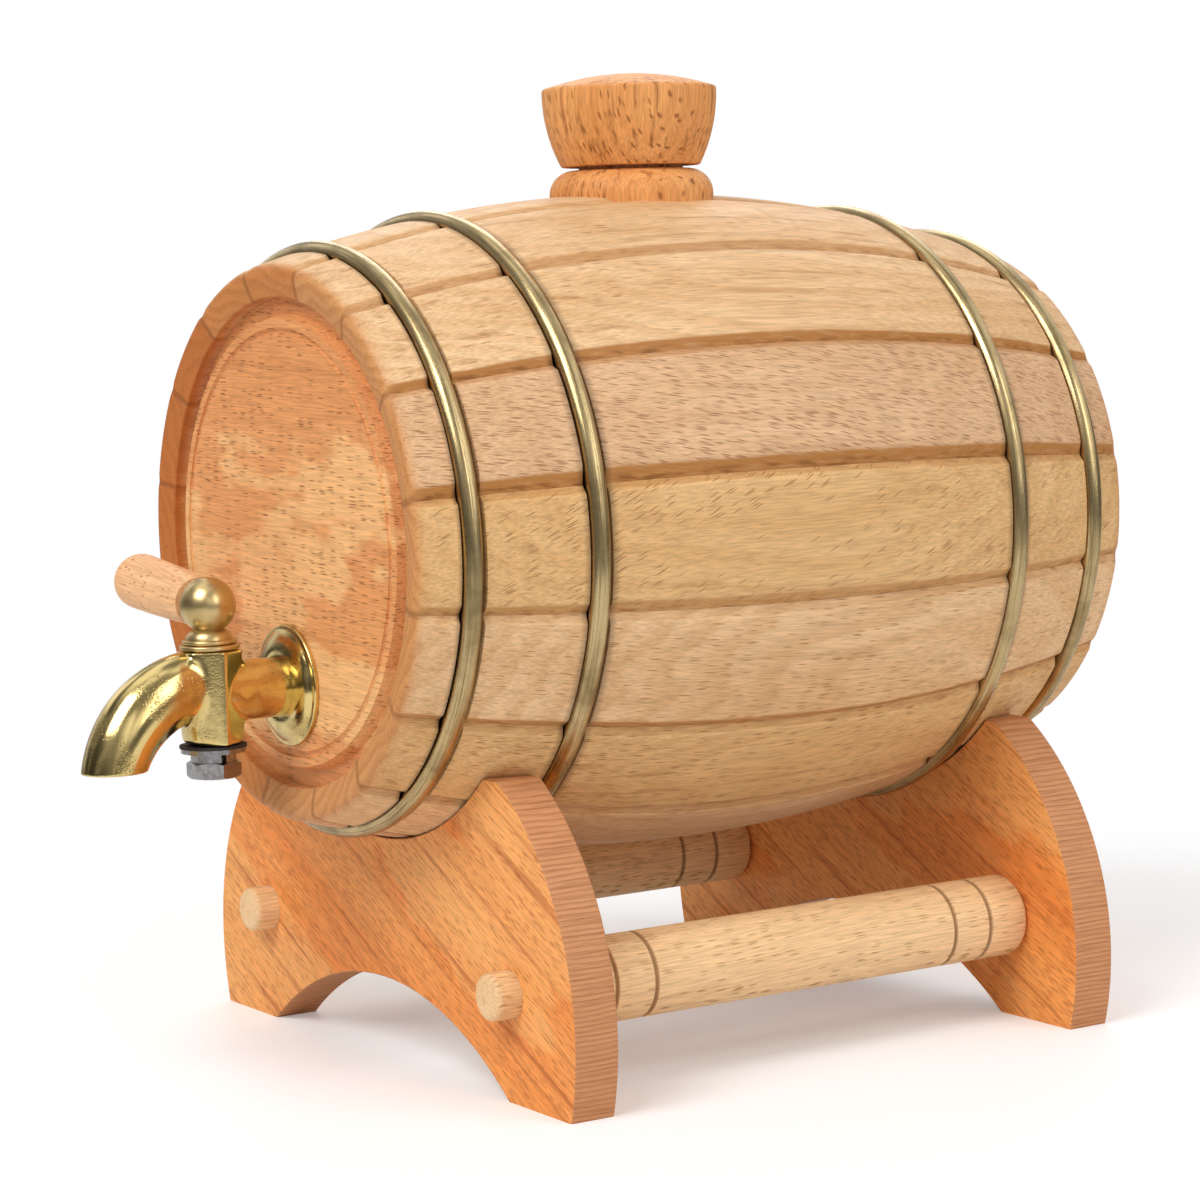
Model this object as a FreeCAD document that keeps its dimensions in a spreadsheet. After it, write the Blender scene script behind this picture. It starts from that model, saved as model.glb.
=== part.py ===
"""Small cask on a cradle, with a plug tap in its front head.

Frame: millimetres, +Z up, the floor at z = 0. The cask lies along Y with its tapped head towards -Y.
The origin is on the floor, under the middle of the whole object's length.
"""

import FreeCAD, Part
import os
import Sketcher

FULL_TURN = 360
ROUND_ABOUT_X = FreeCAD.Vector(1, 0, 0)
ROUND_ABOUT_Y = FreeCAD.Vector(0, 1, 0)
ROUND_ABOUT_Z = FreeCAD.Vector(0, 0, 1)

# Driving dimensions, in millimetres and degrees.
SIZES = [
    # cask
    ("cask_length", 204),
    ("belly_diameter", 160),
    ("chime_diameter", 128.8),
    ("stave_thickness", 7.4),
    ("stave_count", 16),
    ("joint_chamfer", 2.2),
    ("chime_bevel_depth", 2.1),
    ("chime_rounding", 2.5),
    ("axis_height", 125.2),
    # heads
    ("croze_setback", 7),
    ("croze_width", 5),
    ("croze_depth", 4),
    ("head_recess", 2.6),
    ("head_thickness", 10.1),
    ("head_band_drop", 2.9),
    ("head_step_diameter", 104.4),
    ("head_step_slope", 1.2),
    ("head_ring_diameter", 98.8),
    ("head_ring_radius", 0.8),
    ("wood_fit", 0.1),
    # hoops
    ("hoop_wire", 4.8),
    ("hoop_sink", 0.6),
    ("outer_hoop_offset", 89),
    ("inner_hoop_offset", 60),
    # bung and collar
    ("collar_diameter", 40.4),
    ("collar_height", 5.9),
    ("collar_shoulder", 6),
    ("bung_mouth_diameter", 25.8),
    ("bung_taper", 4),
    ("bung_plug_length", 23),
    ("bung_lip_diameter", 34.2),
    ("bung_head_diameter", 43),
    ("bung_head_height", 19),
    ("bung_dome", 3.5),
    ("bung_bulge", 60),
    ("bung_gap", 0.8),
    ("bung_clearance", 0.2),
    # tap casting
    ("tap_drop", 33.2),
    ("tap_reach", 18),
    ("tap_block_flats", 13.4),
    ("tap_block_above", 10),
    ("tap_block_below", 11.7),
    ("tap_tube_diameter", 14),
    ("tap_shank_diameter", 12),
    ("tap_shank_tail", 7),
    ("tap_port", 6),
    ("spout_diameter", 14.6),
    ("spout_bore", 10.4),
    ("spout_bend", 26.4),
    ("spout_rise", 2.5),
    ("spout_mouth_drop", 16),
    ("spout_bore_start", 12),
    ("rosette_diameter", 28.6),
    ("rosette_rim", 1.1),
    ("rosette_neck", 3.2),
    ("rosette_hollow", 9),
    ("brass_fit", 0.05),
    # tap plug
    ("plug_top_diameter", 10),
    ("plug_tip_diameter", 8.8),
    ("plug_clearance", 0.05),
    ("plug_rest_gap", 0.2),
    ("bead_diameter", 14.2),
    ("bead_height", 1.2),
    ("neck_diameter", 8),
    ("neck_rise", 5),
    ("neck_flare", 4.6),
    ("ball_diameter", 13),
    ("ball_rise", 20.4),
    ("screw_diameter", 6.35),
    ("screw_tip", 0.4),
    # handle
    ("handle_tilt", 5.4),
    ("handle_root", 11.4),
    ("handle_end", 13.2),
    ("handle_reach", 41),
    ("handle_dome", 6),
    ("handle_tenon", 6.4),
    ("handle_tenon_length", 4.5),
    # washers and nut
    ("gasket_diameter", 15.6),
    ("gasket_thickness", 0.6),
    ("washer_diameter", 15),
    ("washer_thickness", 1.1),
    ("spring_washer_diameter", 10.6),
    ("spring_washer_thickness", 2.1),
    ("spring_washer_slot", 1.2),
    ("nut_across_flats", 11.1),
    ("nut_height", 3.8),
    ("nut_turn", -6),
    # cradle
    ("cradle_length", 153),
    ("plate_thickness", 9.3),
    ("plate_side_radius", 65.5),
    ("plate_side_centre", 19),
    ("plate_side_centre_height", 18),
    ("plate_edge_rounding", 0.8),
    ("arch_width", 112),
    ("arch_height", 19.6),
    ("horn_height", 73),
    ("horn_rounding", 3.2),
    ("saddle_clearance", 0.3),
    # spreaders
    ("spreader_diameter", 20),
    ("spreader_inset", 26.5),
    ("left_spreader_height", 28.2),
    ("right_spreader_height", 25),
    ("spreader_rounding", 1.5),
    ("spreader_ring_near", 12.6),
    ("spreader_ring_far", 23.5),
    ("spreader_ring_width", 1.6),
    ("spreader_ring_depth", 0.8),
    ("tenon_diameter", 11),
    ("tenon_stub", 7),
    ("tenon_rounding", 1.5),
]

# Values worked out from the driving dimensions.
WORKED = [
    ("half_length", "=Sizes.cask_length / 2"),
    ("belly_radius", "=Sizes.belly_diameter / 2"),
    ("chime_radius", "=Sizes.chime_diameter / 2"),
    ("bilge_rise", "=Worked.belly_radius - Worked.chime_radius"),
    # radius of the staves' outer curve, from half its chord and its rise
    ("bilge_arc", "=(Worked.half_length ^ 2 + Worked.bilge_rise ^ 2) / (2 * Worked.bilge_rise)"),
    ("arc_depth", "=Worked.bilge_arc - Worked.belly_radius"),
    ("inner_arc", "=Worked.bilge_arc - Sizes.stave_thickness"),
    ("lip_offset", "=Worked.half_length - Sizes.chime_bevel_depth"),
    ("lip_radius", "=sqrt(Worked.inner_arc ^ 2 - Worked.lip_offset ^ 2) - Worked.arc_depth"),
    # croze: the groove in the staves that holds a head
    ("croze_out", "=Worked.half_length - Sizes.croze_setback"),
    ("croze_in", "=Worked.croze_out - Sizes.croze_width"),
    ("croze_mouth", "=Worked.lip_radius - 1"),
    ("croze_floor", "=Worked.lip_radius + Sizes.croze_depth"),
    # head, seen along Y from the cask's middle
    ("panel_out", "=Worked.half_length - Sizes.head_recess"),
    ("panel_in", "=Worked.panel_out - Sizes.head_thickness"),
    ("band_out", "=Worked.panel_out - Sizes.head_band_drop"),
    ("step_radius", "=Sizes.head_step_diameter / 2"),
    ("head_radius", "=Worked.lip_radius - Sizes.wood_fit"),
    ("tongue_radius", "=Worked.croze_floor - Sizes.wood_fit"),
    ("tongue_out", "=Worked.croze_out - Sizes.wood_fit"),
    ("tongue_in", "=Worked.croze_in + Sizes.wood_fit"),
    # hoops: radius of the wire's centre circle
    ("outer_hoop_ring",
     "=sqrt(Worked.bilge_arc ^ 2 - Sizes.outer_hoop_offset ^ 2) - Worked.arc_depth - Sizes.hoop_sink"),
    ("inner_hoop_ring",
     "=sqrt(Worked.bilge_arc ^ 2 - Sizes.inner_hoop_offset ^ 2) - Worked.arc_depth - Sizes.hoop_sink"),
    ("hoop_groove", "=Sizes.hoop_wire / 2 + Sizes.wood_fit"),
    # collar and bung, heights from the cask's axis
    ("collar_radius", "=Sizes.collar_diameter / 2"),
    ("collar_top", "=Worked.belly_radius + Sizes.collar_height"),
    ("collar_flat", "=Worked.collar_radius - Sizes.collar_shoulder"),
    ("collar_side_top", "=Worked.collar_top - Sizes.collar_shoulder"),
    ("collar_root", "=Worked.belly_radius - Sizes.stave_thickness"),
    ("collar_end_radius",
     "=sqrt(Worked.bilge_arc ^ 2 - Sizes.collar_diameter ^ 2) - Worked.arc_depth"),
    ("bung_seat", "=Worked.collar_top + Sizes.bung_gap"),
    ("bung_tip", "=Worked.bung_seat - Sizes.bung_plug_length"),
    ("bung_mouth_radius", "=Sizes.bung_mouth_diameter / 2"),
    ("bung_tip_radius", "=(Sizes.bung_mouth_diameter - Sizes.bung_taper) / 2"),
    ("bung_rim", "=Worked.bung_seat + Sizes.bung_head_height"),
    ("bung_crown", "=Worked.bung_rim + Sizes.bung_dome"),
    ("bung_crown_arc",
     "=((Sizes.bung_head_diameter / 2) ^ 2 + Sizes.bung_dome ^ 2) / (2 * Sizes.bung_dome)"),
    # tap, from the point where the stem's axis meets the inlet's
    ("tap_face", "=Sizes.tap_reach + Sizes.head_recess"),
    ("tap_tail", "=Worked.tap_face + Sizes.head_thickness + Sizes.tap_shank_tail"),
    ("tap_height", "=Sizes.axis_height - Sizes.tap_drop"),
    ("block_height", "=Sizes.tap_block_above + Sizes.tap_block_below"),
    ("block_corner", "=Sizes.tap_block_flats / 2 / cos(30)"),
    ("bend_height", "=Sizes.spout_rise - Sizes.spout_bend"),
    ("mouth_fall", "=Sizes.spout_mouth_drop + Worked.bend_height"),
    ("spout_reach",
     "=sqrt((Sizes.spout_bend + Sizes.spout_diameter / 2) ^ 2 - Worked.mouth_fall ^ 2)"),
    # the port reaches from inside the spout's bore to the end of the shank
    ("port_start", "=Sizes.spout_bore_start / 45 * Sizes.spout_bend"),
    ("rosette_hole", "=Sizes.tap_tube_diameter / 2 + Sizes.brass_fit"),
    ("bead_root", "=Sizes.bead_diameter / 2 - Sizes.bead_height / 4"),
    ("bead_round", "=Sizes.bead_height * 0.625"),
    ("bead_base", "=Sizes.tap_block_above + Sizes.plug_rest_gap"),
    ("bead_top", "=Worked.bead_base + 2 * Sizes.bead_height"),
    ("neck_base", "=Sizes.tap_block_above + Sizes.neck_rise"),
    ("ball_foot",
     "=Sizes.ball_rise - sqrt((Sizes.ball_diameter / 2) ^ 2 - (Sizes.neck_diameter / 2) ^ 2)"),
    ("gasket_top", "=0 - Sizes.tap_block_below - Sizes.plug_rest_gap"),
    ("washer_top", "=Worked.gasket_top - Sizes.gasket_thickness"),
    ("spring_top", "=Worked.washer_top - Sizes.washer_thickness"),
    ("nut_top", "=Worked.spring_top - Sizes.spring_washer_thickness"),
    ("nut_base", "=Worked.nut_top - Sizes.nut_height"),
    ("screw_end", "=Worked.nut_base - Sizes.screw_tip"),
    ("nut_corner", "=Sizes.nut_across_flats / 2 / cos(30)"),
    ("nut_chamfer_height", "=Sizes.nut_across_flats / 2 * tan(30)"),
    ("screw_hole", "=Sizes.screw_diameter / 2 + Sizes.brass_fit"),
    # handle, along its own axis from the ball's centre
    ("handle_shoulder",
     "=sqrt((Sizes.ball_diameter / 2) ^ 2 - (Sizes.handle_tenon / 2) ^ 2) + Sizes.brass_fit"),
    ("handle_inner", "=Worked.handle_shoulder - Sizes.handle_tenon_length"),
    ("handle_dome_foot", "=Sizes.handle_reach - Sizes.handle_dome"),
    ("handle_dome_arc",
     "=((Sizes.handle_end / 2) ^ 2 + Sizes.handle_dome ^ 2) / (2 * Sizes.handle_dome)"),
    # cradle
    ("plate_out", "=Sizes.cradle_length / 2"),
    ("plate_in", "=Worked.plate_out - Sizes.plate_thickness"),
    # each side of a plate is an arc about a centre a little off the plate's middle line
    ("plate_half_width", "=Sizes.plate_side_centre + Sizes.plate_side_radius"),
    ("foot_reach",
     "=Sizes.plate_side_centre + sqrt(Sizes.plate_side_radius ^ 2 - Sizes.plate_side_centre_height ^ 2)"),
    ("plate_peak",
     "=Sizes.plate_side_centre_height + sqrt(Sizes.plate_side_radius ^ 2 - Sizes.plate_side_centre ^ 2)"),
    ("arch_arc",
     "=((Sizes.arch_width / 2) ^ 2 + Sizes.arch_height ^ 2) / (2 * Sizes.arch_height)"),
    ("saddle_arc", "=Worked.bilge_arc + Sizes.saddle_clearance"),
    ("saddle_out", "=Worked.plate_out + Sizes.plate_edge_rounding"),
    ("saddle_in", "=Worked.plate_in - Sizes.plate_edge_rounding"),
    ("saddle_out_radius", "=sqrt(Worked.saddle_arc ^ 2 - Worked.saddle_out ^ 2) - Worked.arc_depth"),
    ("saddle_in_radius", "=sqrt(Worked.saddle_arc ^ 2 - Worked.saddle_in ^ 2) - Worked.arc_depth"),
    ("spreader_x", "=Worked.plate_half_width - Sizes.spreader_inset"),
    ("tenon_hole", "=Sizes.tenon_diameter / 2 + Sizes.wood_fit"),
    ("tenon_end", "=Worked.plate_out + Sizes.tenon_stub"),
    ("spreader_end", "=Worked.plate_in - Sizes.wood_fit"),
    # the origin lies midway between the spout's front and the rear chime
    ("cask_centre_y", "=(Sizes.tap_reach + Worked.spout_reach) / 2"),
    ("stem_y", "=Worked.cask_centre_y - Worked.half_length - Sizes.tap_reach"),
]


def fill_sheet(sheet, rows):
    """Write one alias and its value or formula in each row."""
    for row, (alias, value) in enumerate(rows, start=1):
        sheet.set(f"A{row}", alias)
        sheet.set(f"B{row}", str(value))
        sheet.setAlias(f"B{row}", alias)


doc = FreeCAD.newDocument("cask_dispenser")
sizes = doc.addObject("Spreadsheet::Sheet", "Sizes")
fill_sheet(sizes, SIZES)
worked = doc.addObject("Spreadsheet::Sheet", "Worked")
fill_sheet(worked, WORKED)
doc.recompute()

pieces = []


def number(expression):
    """Value of an expression on the two sheets."""
    return float(worked.evalExpression(expression))


def new_body(label):
    """An empty body whose label names its file."""
    body = doc.addObject("PartDesign::Body", "Body_" + label)
    body.Label = label
    pieces.append(body)
    return body


def place(piece, x="0", y="0", z="0", turn=None):
    """Put a piece at a place given by expressions, after an optional turn."""
    piece.Placement = FreeCAD.Placement(FreeCAD.Vector(), turn or FreeCAD.Rotation())
    piece.setExpression("Placement.Base.x", x)
    piece.setExpression("Placement.Base.y", y)
    piece.setExpression("Placement.Base.z", z)


def new_sketch(body, plane, shift=None, turn=None):
    """A sketch on an origin plane of the body, moved by expressions along the plane's own axes."""
    sketch = body.newObject("Sketcher::SketchObject", body.Name + "_sketch")
    support = [feature for feature in body.Origin.OriginFeatures if feature.Role == plane][0]
    sketch.AttachmentSupport = [(support, "")]
    sketch.MapMode = "FlatFace"
    sketch.AttachmentOffset = FreeCAD.Placement(FreeCAD.Vector(), turn or FreeCAD.Rotation())
    for axis, expression in (shift or {}).items():
        sketch.setExpression("AttachmentOffset.Base." + axis, expression)
    return sketch


def bind(sketch, kind, first_args, expression):
    """Add a constraint whose value is an expression."""
    value = number(expression)
    index = sketch.addConstraint(Sketcher.Constraint(kind, *first_args, value))
    sketch.setExpression(f"Constraints[{index}]", expression)


def short_arc(start, end, radius, hand):
    """The short arc from start to end, with its centre on the left or right hand of that way."""
    chord = end - start
    middle = (start + end) / 2
    left = FreeCAD.Vector(-chord.y, chord.x, 0).normalize()
    towards_centre = left if hand == "left" else left * -1
    height = (radius ** 2 - (chord.Length / 2) ** 2) ** 0.5
    crown = middle + towards_centre * (height - radius)
    return Part.Arc(start, crown, end)


def outline(sketch, corners, arcs=None):
    """Closed outline through corners whose places are expressions.

    arcs maps a side's number to the expression of its radius and the hand that its centre is on,
    going from corner to corner. The other sides are straight.
    """
    arcs = arcs or {}
    first = sketch.GeometryCount
    count = len(corners)
    points = [FreeCAD.Vector(number(x), number(y), 0) for x, y in corners]
    for side, start in enumerate(points):
        end = points[(side + 1) % count]
        if side in arcs:
            radius, hand = arcs[side]
            sketch.addGeometry(short_arc(start, end, number(radius), hand), False)
        else:
            sketch.addGeometry(Part.LineSegment(start, end), False)
    for side, point in enumerate(points):
        here = first + side
        before = first + (side - 1) % count
        ends = [end_at(sketch, curve, point) for curve in (before, here)]
        sketch.addConstraint(Sketcher.Constraint("Coincident", before, ends[0], here, ends[1]))
        bind(sketch, "DistanceX", (-1, 1, here, ends[1]), corners[side][0])
        bind(sketch, "DistanceY", (-1, 1, here, ends[1]), corners[side][1])
    for side, (radius, hand) in arcs.items():
        bind(sketch, "Radius", (first + side,), radius)


def end_at(sketch, curve, point):
    """Which end of a sketch curve lies at a point: 1 for its start, 2 for its end."""
    gaps = [sketch.getPoint(curve, end).distanceToPoint(point) for end in (1, 2)]
    return 1 if gaps[0] < gaps[1] else 2


def circle(sketch, x, y, radius):
    """A circle whose centre and radius are expressions."""
    centre = FreeCAD.Vector(number(x), number(y), 0)
    upright = FreeCAD.Vector(0, 0, 1)
    index = sketch.addGeometry(Part.Circle(centre, upright, number(radius)), False)
    bind(sketch, "DistanceX", (-1, 1, index, 3), x)
    bind(sketch, "DistanceY", (-1, 1, index, 3), y)
    bind(sketch, "Radius", (index,), radius)


def feature(body, kind, sketch):
    """A feature of the body made from a sketch."""
    new = body.newObject("PartDesign::" + kind, body.Name + "_" + kind)
    new.Profile = (sketch, [""])
    sketch.Visibility = False
    return new


def turned(body, sketch, axis, angle=FULL_TURN):
    """Material turned about an axis of the sketch."""
    new = feature(body, "Revolution", sketch)
    new.ReferenceAxis = (sketch, [axis])
    new.Angle = angle
    return new


def turned_cut(body, sketch, axis, angle=FULL_TURN):
    """A cut turned about an axis of the sketch."""
    new = feature(body, "Groove", sketch)
    new.ReferenceAxis = (sketch, [axis])
    new.Angle = angle
    return new


def pad(body, sketch, length, backwards=False):
    """Material raised from the sketch, along its normal unless backwards."""
    new = feature(body, "Pad", sketch)
    new.Reversed = backwards
    new.setExpression("Length", length)
    return new


def pocket(body, sketch, length):
    """A cut of a given length from the sketch, against its normal."""
    new = feature(body, "Pocket", sketch)
    new.setExpression("Length", length)
    return new


def through_cut(body, sketch):
    """A cut right through the body, both ways from the sketch."""
    new = feature(body, "Pocket", sketch)
    new.Type = "ThroughAll"
    new.Midplane = True
    return new


def edges_where(made, test):
    """Names of the edges of a feature's shape that pass a test."""
    doc.recompute()
    edges = enumerate(made.Shape.Edges, start=1)
    return [f"Edge{index}" for index, edge in edges if test(edge)]


def dress(body, kind, base, edges, size, expression):
    """Round or chamfer the named edges of a feature."""
    new = body.newObject("PartDesign::" + kind, body.Name + "_" + kind)
    new.Base = (base, edges)
    new.setExpression(size, expression)
    return new


def regular_corners(count, radius, first_angle):
    """Corners of a regular polygon."""
    angles = [first_angle + FULL_TURN / count * k for k in range(count)]
    return [(f"{radius} * cos({a})", f"{radius} * sin({a})") for a in angles]


def stave_section(sketch):
    """Lengthwise section of a stave: two curved sides and a bevel at each chime."""
    outline(
        sketch,
        [
            ("-Worked.half_length", "Worked.chime_radius"),
            ("-Worked.lip_offset", "Worked.lip_radius"),
            ("Worked.lip_offset", "Worked.lip_radius"),
            ("Worked.half_length", "Worked.chime_radius"),
        ],
        {1: ("Worked.inner_arc", "right"), 3: ("Worked.bilge_arc", "left")},
    )


def turned_grooves(sketch):
    """Sections of the four hoop grooves and of the croze for each head."""
    for side in ("-", ""):
        circle(sketch, side + "Sizes.outer_hoop_offset", "Worked.outer_hoop_ring", "Worked.hoop_groove")
        circle(sketch, side + "Sizes.inner_hoop_offset", "Worked.inner_hoop_ring", "Worked.hoop_groove")
        outline(
            sketch,
            [
                (side + "Worked.croze_in", "Worked.croze_mouth"),
                (side + "Worked.croze_out", "Worked.croze_mouth"),
                (side + "Worked.croze_out", "Worked.croze_floor"),
                (side + "Worked.croze_in", "Worked.croze_floor"),
            ],
        )


def bung_bore(body):
    """Tapered hole for the bung, down from its seat."""
    sketch = new_sketch(body, "XZ_Plane")
    outline(
        sketch,
        [
            ("0", "Worked.bung_tip"),
            ("Worked.bung_tip_radius + Sizes.bung_clearance", "Worked.bung_tip"),
            ("Worked.bung_mouth_radius + Sizes.bung_clearance", "Worked.bung_seat"),
            ("0", "Worked.bung_seat"),
        ],
    )
    turned_cut(body, sketch, "V_Axis")


def make_stave(index, count):
    """One stave. Number 1 lies on top and has the bung hole; the others follow round the cask."""
    body = new_body(f"stave_{index:02d}")
    section = new_sketch(body, "YZ_Plane")
    stave_section(section)
    wedge = turned(body, section, "H_Axis", FULL_TURN / count)
    wedge.Midplane = True
    chime = number("Worked.chime_radius")
    half = number("Worked.half_length")

    def on_chime_rim(edge):
        middle = edge.valueAt((edge.FirstParameter + edge.LastParameter) / 2)
        radius = (middle.x ** 2 + middle.z ** 2) ** 0.5
        return abs(abs(middle.y) - half) < 0.01 and abs(radius - chime) < 0.01

    rounded = dress(body, "Fillet", wedge, edges_where(wedge, on_chime_rim), "Radius",
                    "Sizes.chime_rounding")
    bilge = number("Worked.belly_radius")

    def on_long_joint(edge):
        middle = edge.valueAt((edge.FirstParameter + edge.LastParameter) / 2)
        radius = (middle.x ** 2 + middle.z ** 2) ** 0.5
        return abs(middle.y) < 1 and abs(radius - bilge) < 0.01

    dress(body, "Chamfer", rounded, edges_where(rounded, on_long_joint), "Size",
          "Sizes.joint_chamfer")
    grooves = new_sketch(body, "YZ_Plane")
    turned_grooves(grooves)
    turned_cut(body, grooves, "H_Axis")
    if index == 1:
        bung_bore(body)
    turn = FreeCAD.Rotation(ROUND_ABOUT_Y, FULL_TURN / count * (index - 1))
    place(body, y="Worked.cask_centre_y", z="Sizes.axis_height", turn=turn)


def make_head(label, front):
    """A head, modelled at the rear and turned round for the front, where it has the tap's hole."""
    body = new_body(label)
    section = new_sketch(body, "YZ_Plane")
    outline(
        section,
        [
            ("Worked.panel_in", "0"),
            ("Worked.panel_out", "0"),
            ("Worked.panel_out", "Worked.step_radius"),
            ("Worked.band_out", "Worked.step_radius + Sizes.head_step_slope"),
            ("Worked.band_out", "Worked.head_radius"),
            ("Worked.tongue_out", "Worked.head_radius"),
            ("Worked.tongue_out", "Worked.tongue_radius"),
            ("Worked.tongue_in", "Worked.tongue_radius"),
            ("Worked.tongue_in", "Worked.head_radius"),
            ("Worked.panel_in", "Worked.head_radius"),
        ],
    )
    turned(body, section, "H_Axis")
    ring = new_sketch(body, "YZ_Plane")
    circle(ring, "Worked.panel_out", "Sizes.head_ring_diameter / 2", "Sizes.head_ring_radius")
    turned_cut(body, ring, "H_Axis")
    turn = None
    if front:
        hole = new_sketch(body, "XZ_Plane")
        circle(hole, "0", "-Sizes.tap_drop", "Sizes.tap_shank_diameter / 2 + Sizes.brass_fit")
        through_cut(body, hole)
        turn = FreeCAD.Rotation(ROUND_ABOUT_Z, FULL_TURN / 2)
    place(body, y="Worked.cask_centre_y", z="Sizes.axis_height", turn=turn)


def make_hoop(label, ring, offset):
    """A closed ring of round wire about the cask."""
    hoop = doc.addObject("Part::Torus", "Torus_" + label)
    hoop.Label = label
    hoop.setExpression("Radius1", ring)
    hoop.setExpression("Radius2", "Sizes.hoop_wire / 2")
    place(hoop, y="Worked.cask_centre_y" + offset, z="Sizes.axis_height",
          turn=FreeCAD.Rotation(ROUND_ABOUT_X, 90))
    pieces.append(hoop)


def make_collar():
    """Ring on the top stave, hollowed below to the cask's own curve."""
    body = new_body("bung_collar")
    section = new_sketch(body, "XZ_Plane")
    outline(
        section,
        [
            ("0", "Worked.collar_root"),
            ("Worked.collar_radius", "Worked.collar_root"),
            ("Worked.collar_radius", "Worked.collar_side_top"),
            ("Worked.collar_flat", "Worked.collar_top"),
            ("0", "Worked.collar_top"),
        ],
        {2: ("Sizes.collar_shoulder", "left")},
    )
    turned(body, section, "V_Axis")
    under = new_sketch(body, "YZ_Plane")
    outline(
        under,
        [
            ("-Sizes.collar_diameter", "0"),
            ("Sizes.collar_diameter", "0"),
            ("Sizes.collar_diameter", "Worked.collar_end_radius"),
            ("-Sizes.collar_diameter", "Worked.collar_end_radius"),
        ],
        {2: ("Worked.bilge_arc", "left")},
    )
    turned_cut(body, under, "H_Axis")
    bung_bore(body)
    place(body, y="Worked.cask_centre_y", z="Sizes.axis_height")


def make_bung():
    """Stopper: tapered plug, bulged head and domed top."""
    body = new_body("bung")
    section = new_sketch(body, "XZ_Plane")
    outline(
        section,
        [
            ("0", "Worked.bung_tip"),
            ("Worked.bung_tip_radius", "Worked.bung_tip"),
            ("Worked.bung_mouth_radius", "Worked.bung_seat"),
            ("Sizes.bung_lip_diameter / 2", "Worked.bung_seat"),
            ("Sizes.bung_head_diameter / 2", "Worked.bung_rim"),
            ("0", "Worked.bung_crown"),
        ],
        {3: ("Sizes.bung_bulge", "left"), 4: ("Worked.bung_crown_arc", "left")},
    )
    turned(body, section, "V_Axis")
    place(body, y="Worked.cask_centre_y", z="Sizes.axis_height")


def make_tap_body():
    """Casting: six-sided block, tube and shank towards the head, and a spout bent down."""
    body = new_body("tap_body")
    block = new_sketch(body, "XY_Plane", {"z": "-Sizes.tap_block_below"})
    outline(block, regular_corners(6, "Worked.block_corner", 0))
    pad(body, block, "Worked.block_height")
    tube = new_sketch(body, "XZ_Plane")
    circle(tube, "0", "0", "Sizes.tap_tube_diameter / 2")
    pad(body, tube, "Worked.tap_face", backwards=True)
    shank = new_sketch(body, "XZ_Plane")
    circle(shank, "0", "0", "Sizes.tap_shank_diameter / 2")
    pad(body, shank, "Worked.tap_tail", backwards=True)
    spout = new_sketch(body, "XZ_Plane", {"y": "Worked.bend_height"})
    circle(spout, "0", "Sizes.spout_bend", "Sizes.spout_diameter / 2")
    turned(body, spout, "H_Axis", 90)
    bore_start = FreeCAD.Rotation(ROUND_ABOUT_X, number("Sizes.spout_bore_start"))
    bore = new_sketch(body, "XZ_Plane", {"y": "Worked.bend_height"}, bore_start)
    circle(bore, "0", "Sizes.spout_bend", "Sizes.spout_bore / 2")
    turned_cut(body, bore, "H_Axis", 90)
    mouth = new_sketch(body, "XY_Plane", {"z": "-Sizes.spout_mouth_drop"})
    outline(
        mouth,
        [
            ("-Sizes.spout_diameter", "-Sizes.spout_bend - Sizes.spout_diameter"),
            ("Sizes.spout_diameter", "-Sizes.spout_bend - Sizes.spout_diameter"),
            ("Sizes.spout_diameter", "-Sizes.spout_bend + Sizes.spout_diameter"),
            ("-Sizes.spout_diameter", "-Sizes.spout_bend + Sizes.spout_diameter"),
        ],
    )
    pocket(body, mouth, "Sizes.spout_bend")
    port = new_sketch(body, "XZ_Plane", {"z": "Worked.port_start"})
    circle(port, "0", "0", "Sizes.tap_port / 2")
    pocket(body, port, "Worked.port_start + Worked.tap_tail + 1")
    cock = new_sketch(body, "XZ_Plane")
    outline(
        cock,
        [
            ("0", "-Sizes.tap_block_below"),
            ("Sizes.plug_tip_diameter / 2 + Sizes.plug_clearance", "-Sizes.tap_block_below"),
            ("Sizes.plug_top_diameter / 2 + Sizes.plug_clearance", "Sizes.tap_block_above"),
            ("0", "Sizes.tap_block_above"),
        ],
    )
    turned_cut(body, cock, "V_Axis")
    place(body, y="Worked.stem_y", z="Worked.tap_height")


def make_rosette():
    """Dished disc round the tube, flat against the head."""
    body = new_body("tap_rosette")
    section = new_sketch(body, "YZ_Plane")
    outline(
        section,
        [
            ("Worked.tap_face", "Worked.rosette_hole"),
            ("Worked.tap_face - Sizes.rosette_neck", "Worked.rosette_hole"),
            ("Worked.tap_face - Sizes.rosette_neck", "Worked.rosette_hole + Sizes.rosette_rim / 2"),
            ("Worked.tap_face - Sizes.rosette_rim", "(Sizes.rosette_diameter - Sizes.rosette_rim) / 2"),
            ("Worked.tap_face", "Sizes.rosette_diameter / 2"),
        ],
        {2: ("Sizes.rosette_hollow", "left")},
    )
    turned(body, section, "H_Axis")
    place(body, y="Worked.stem_y", z="Worked.tap_height")


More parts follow.
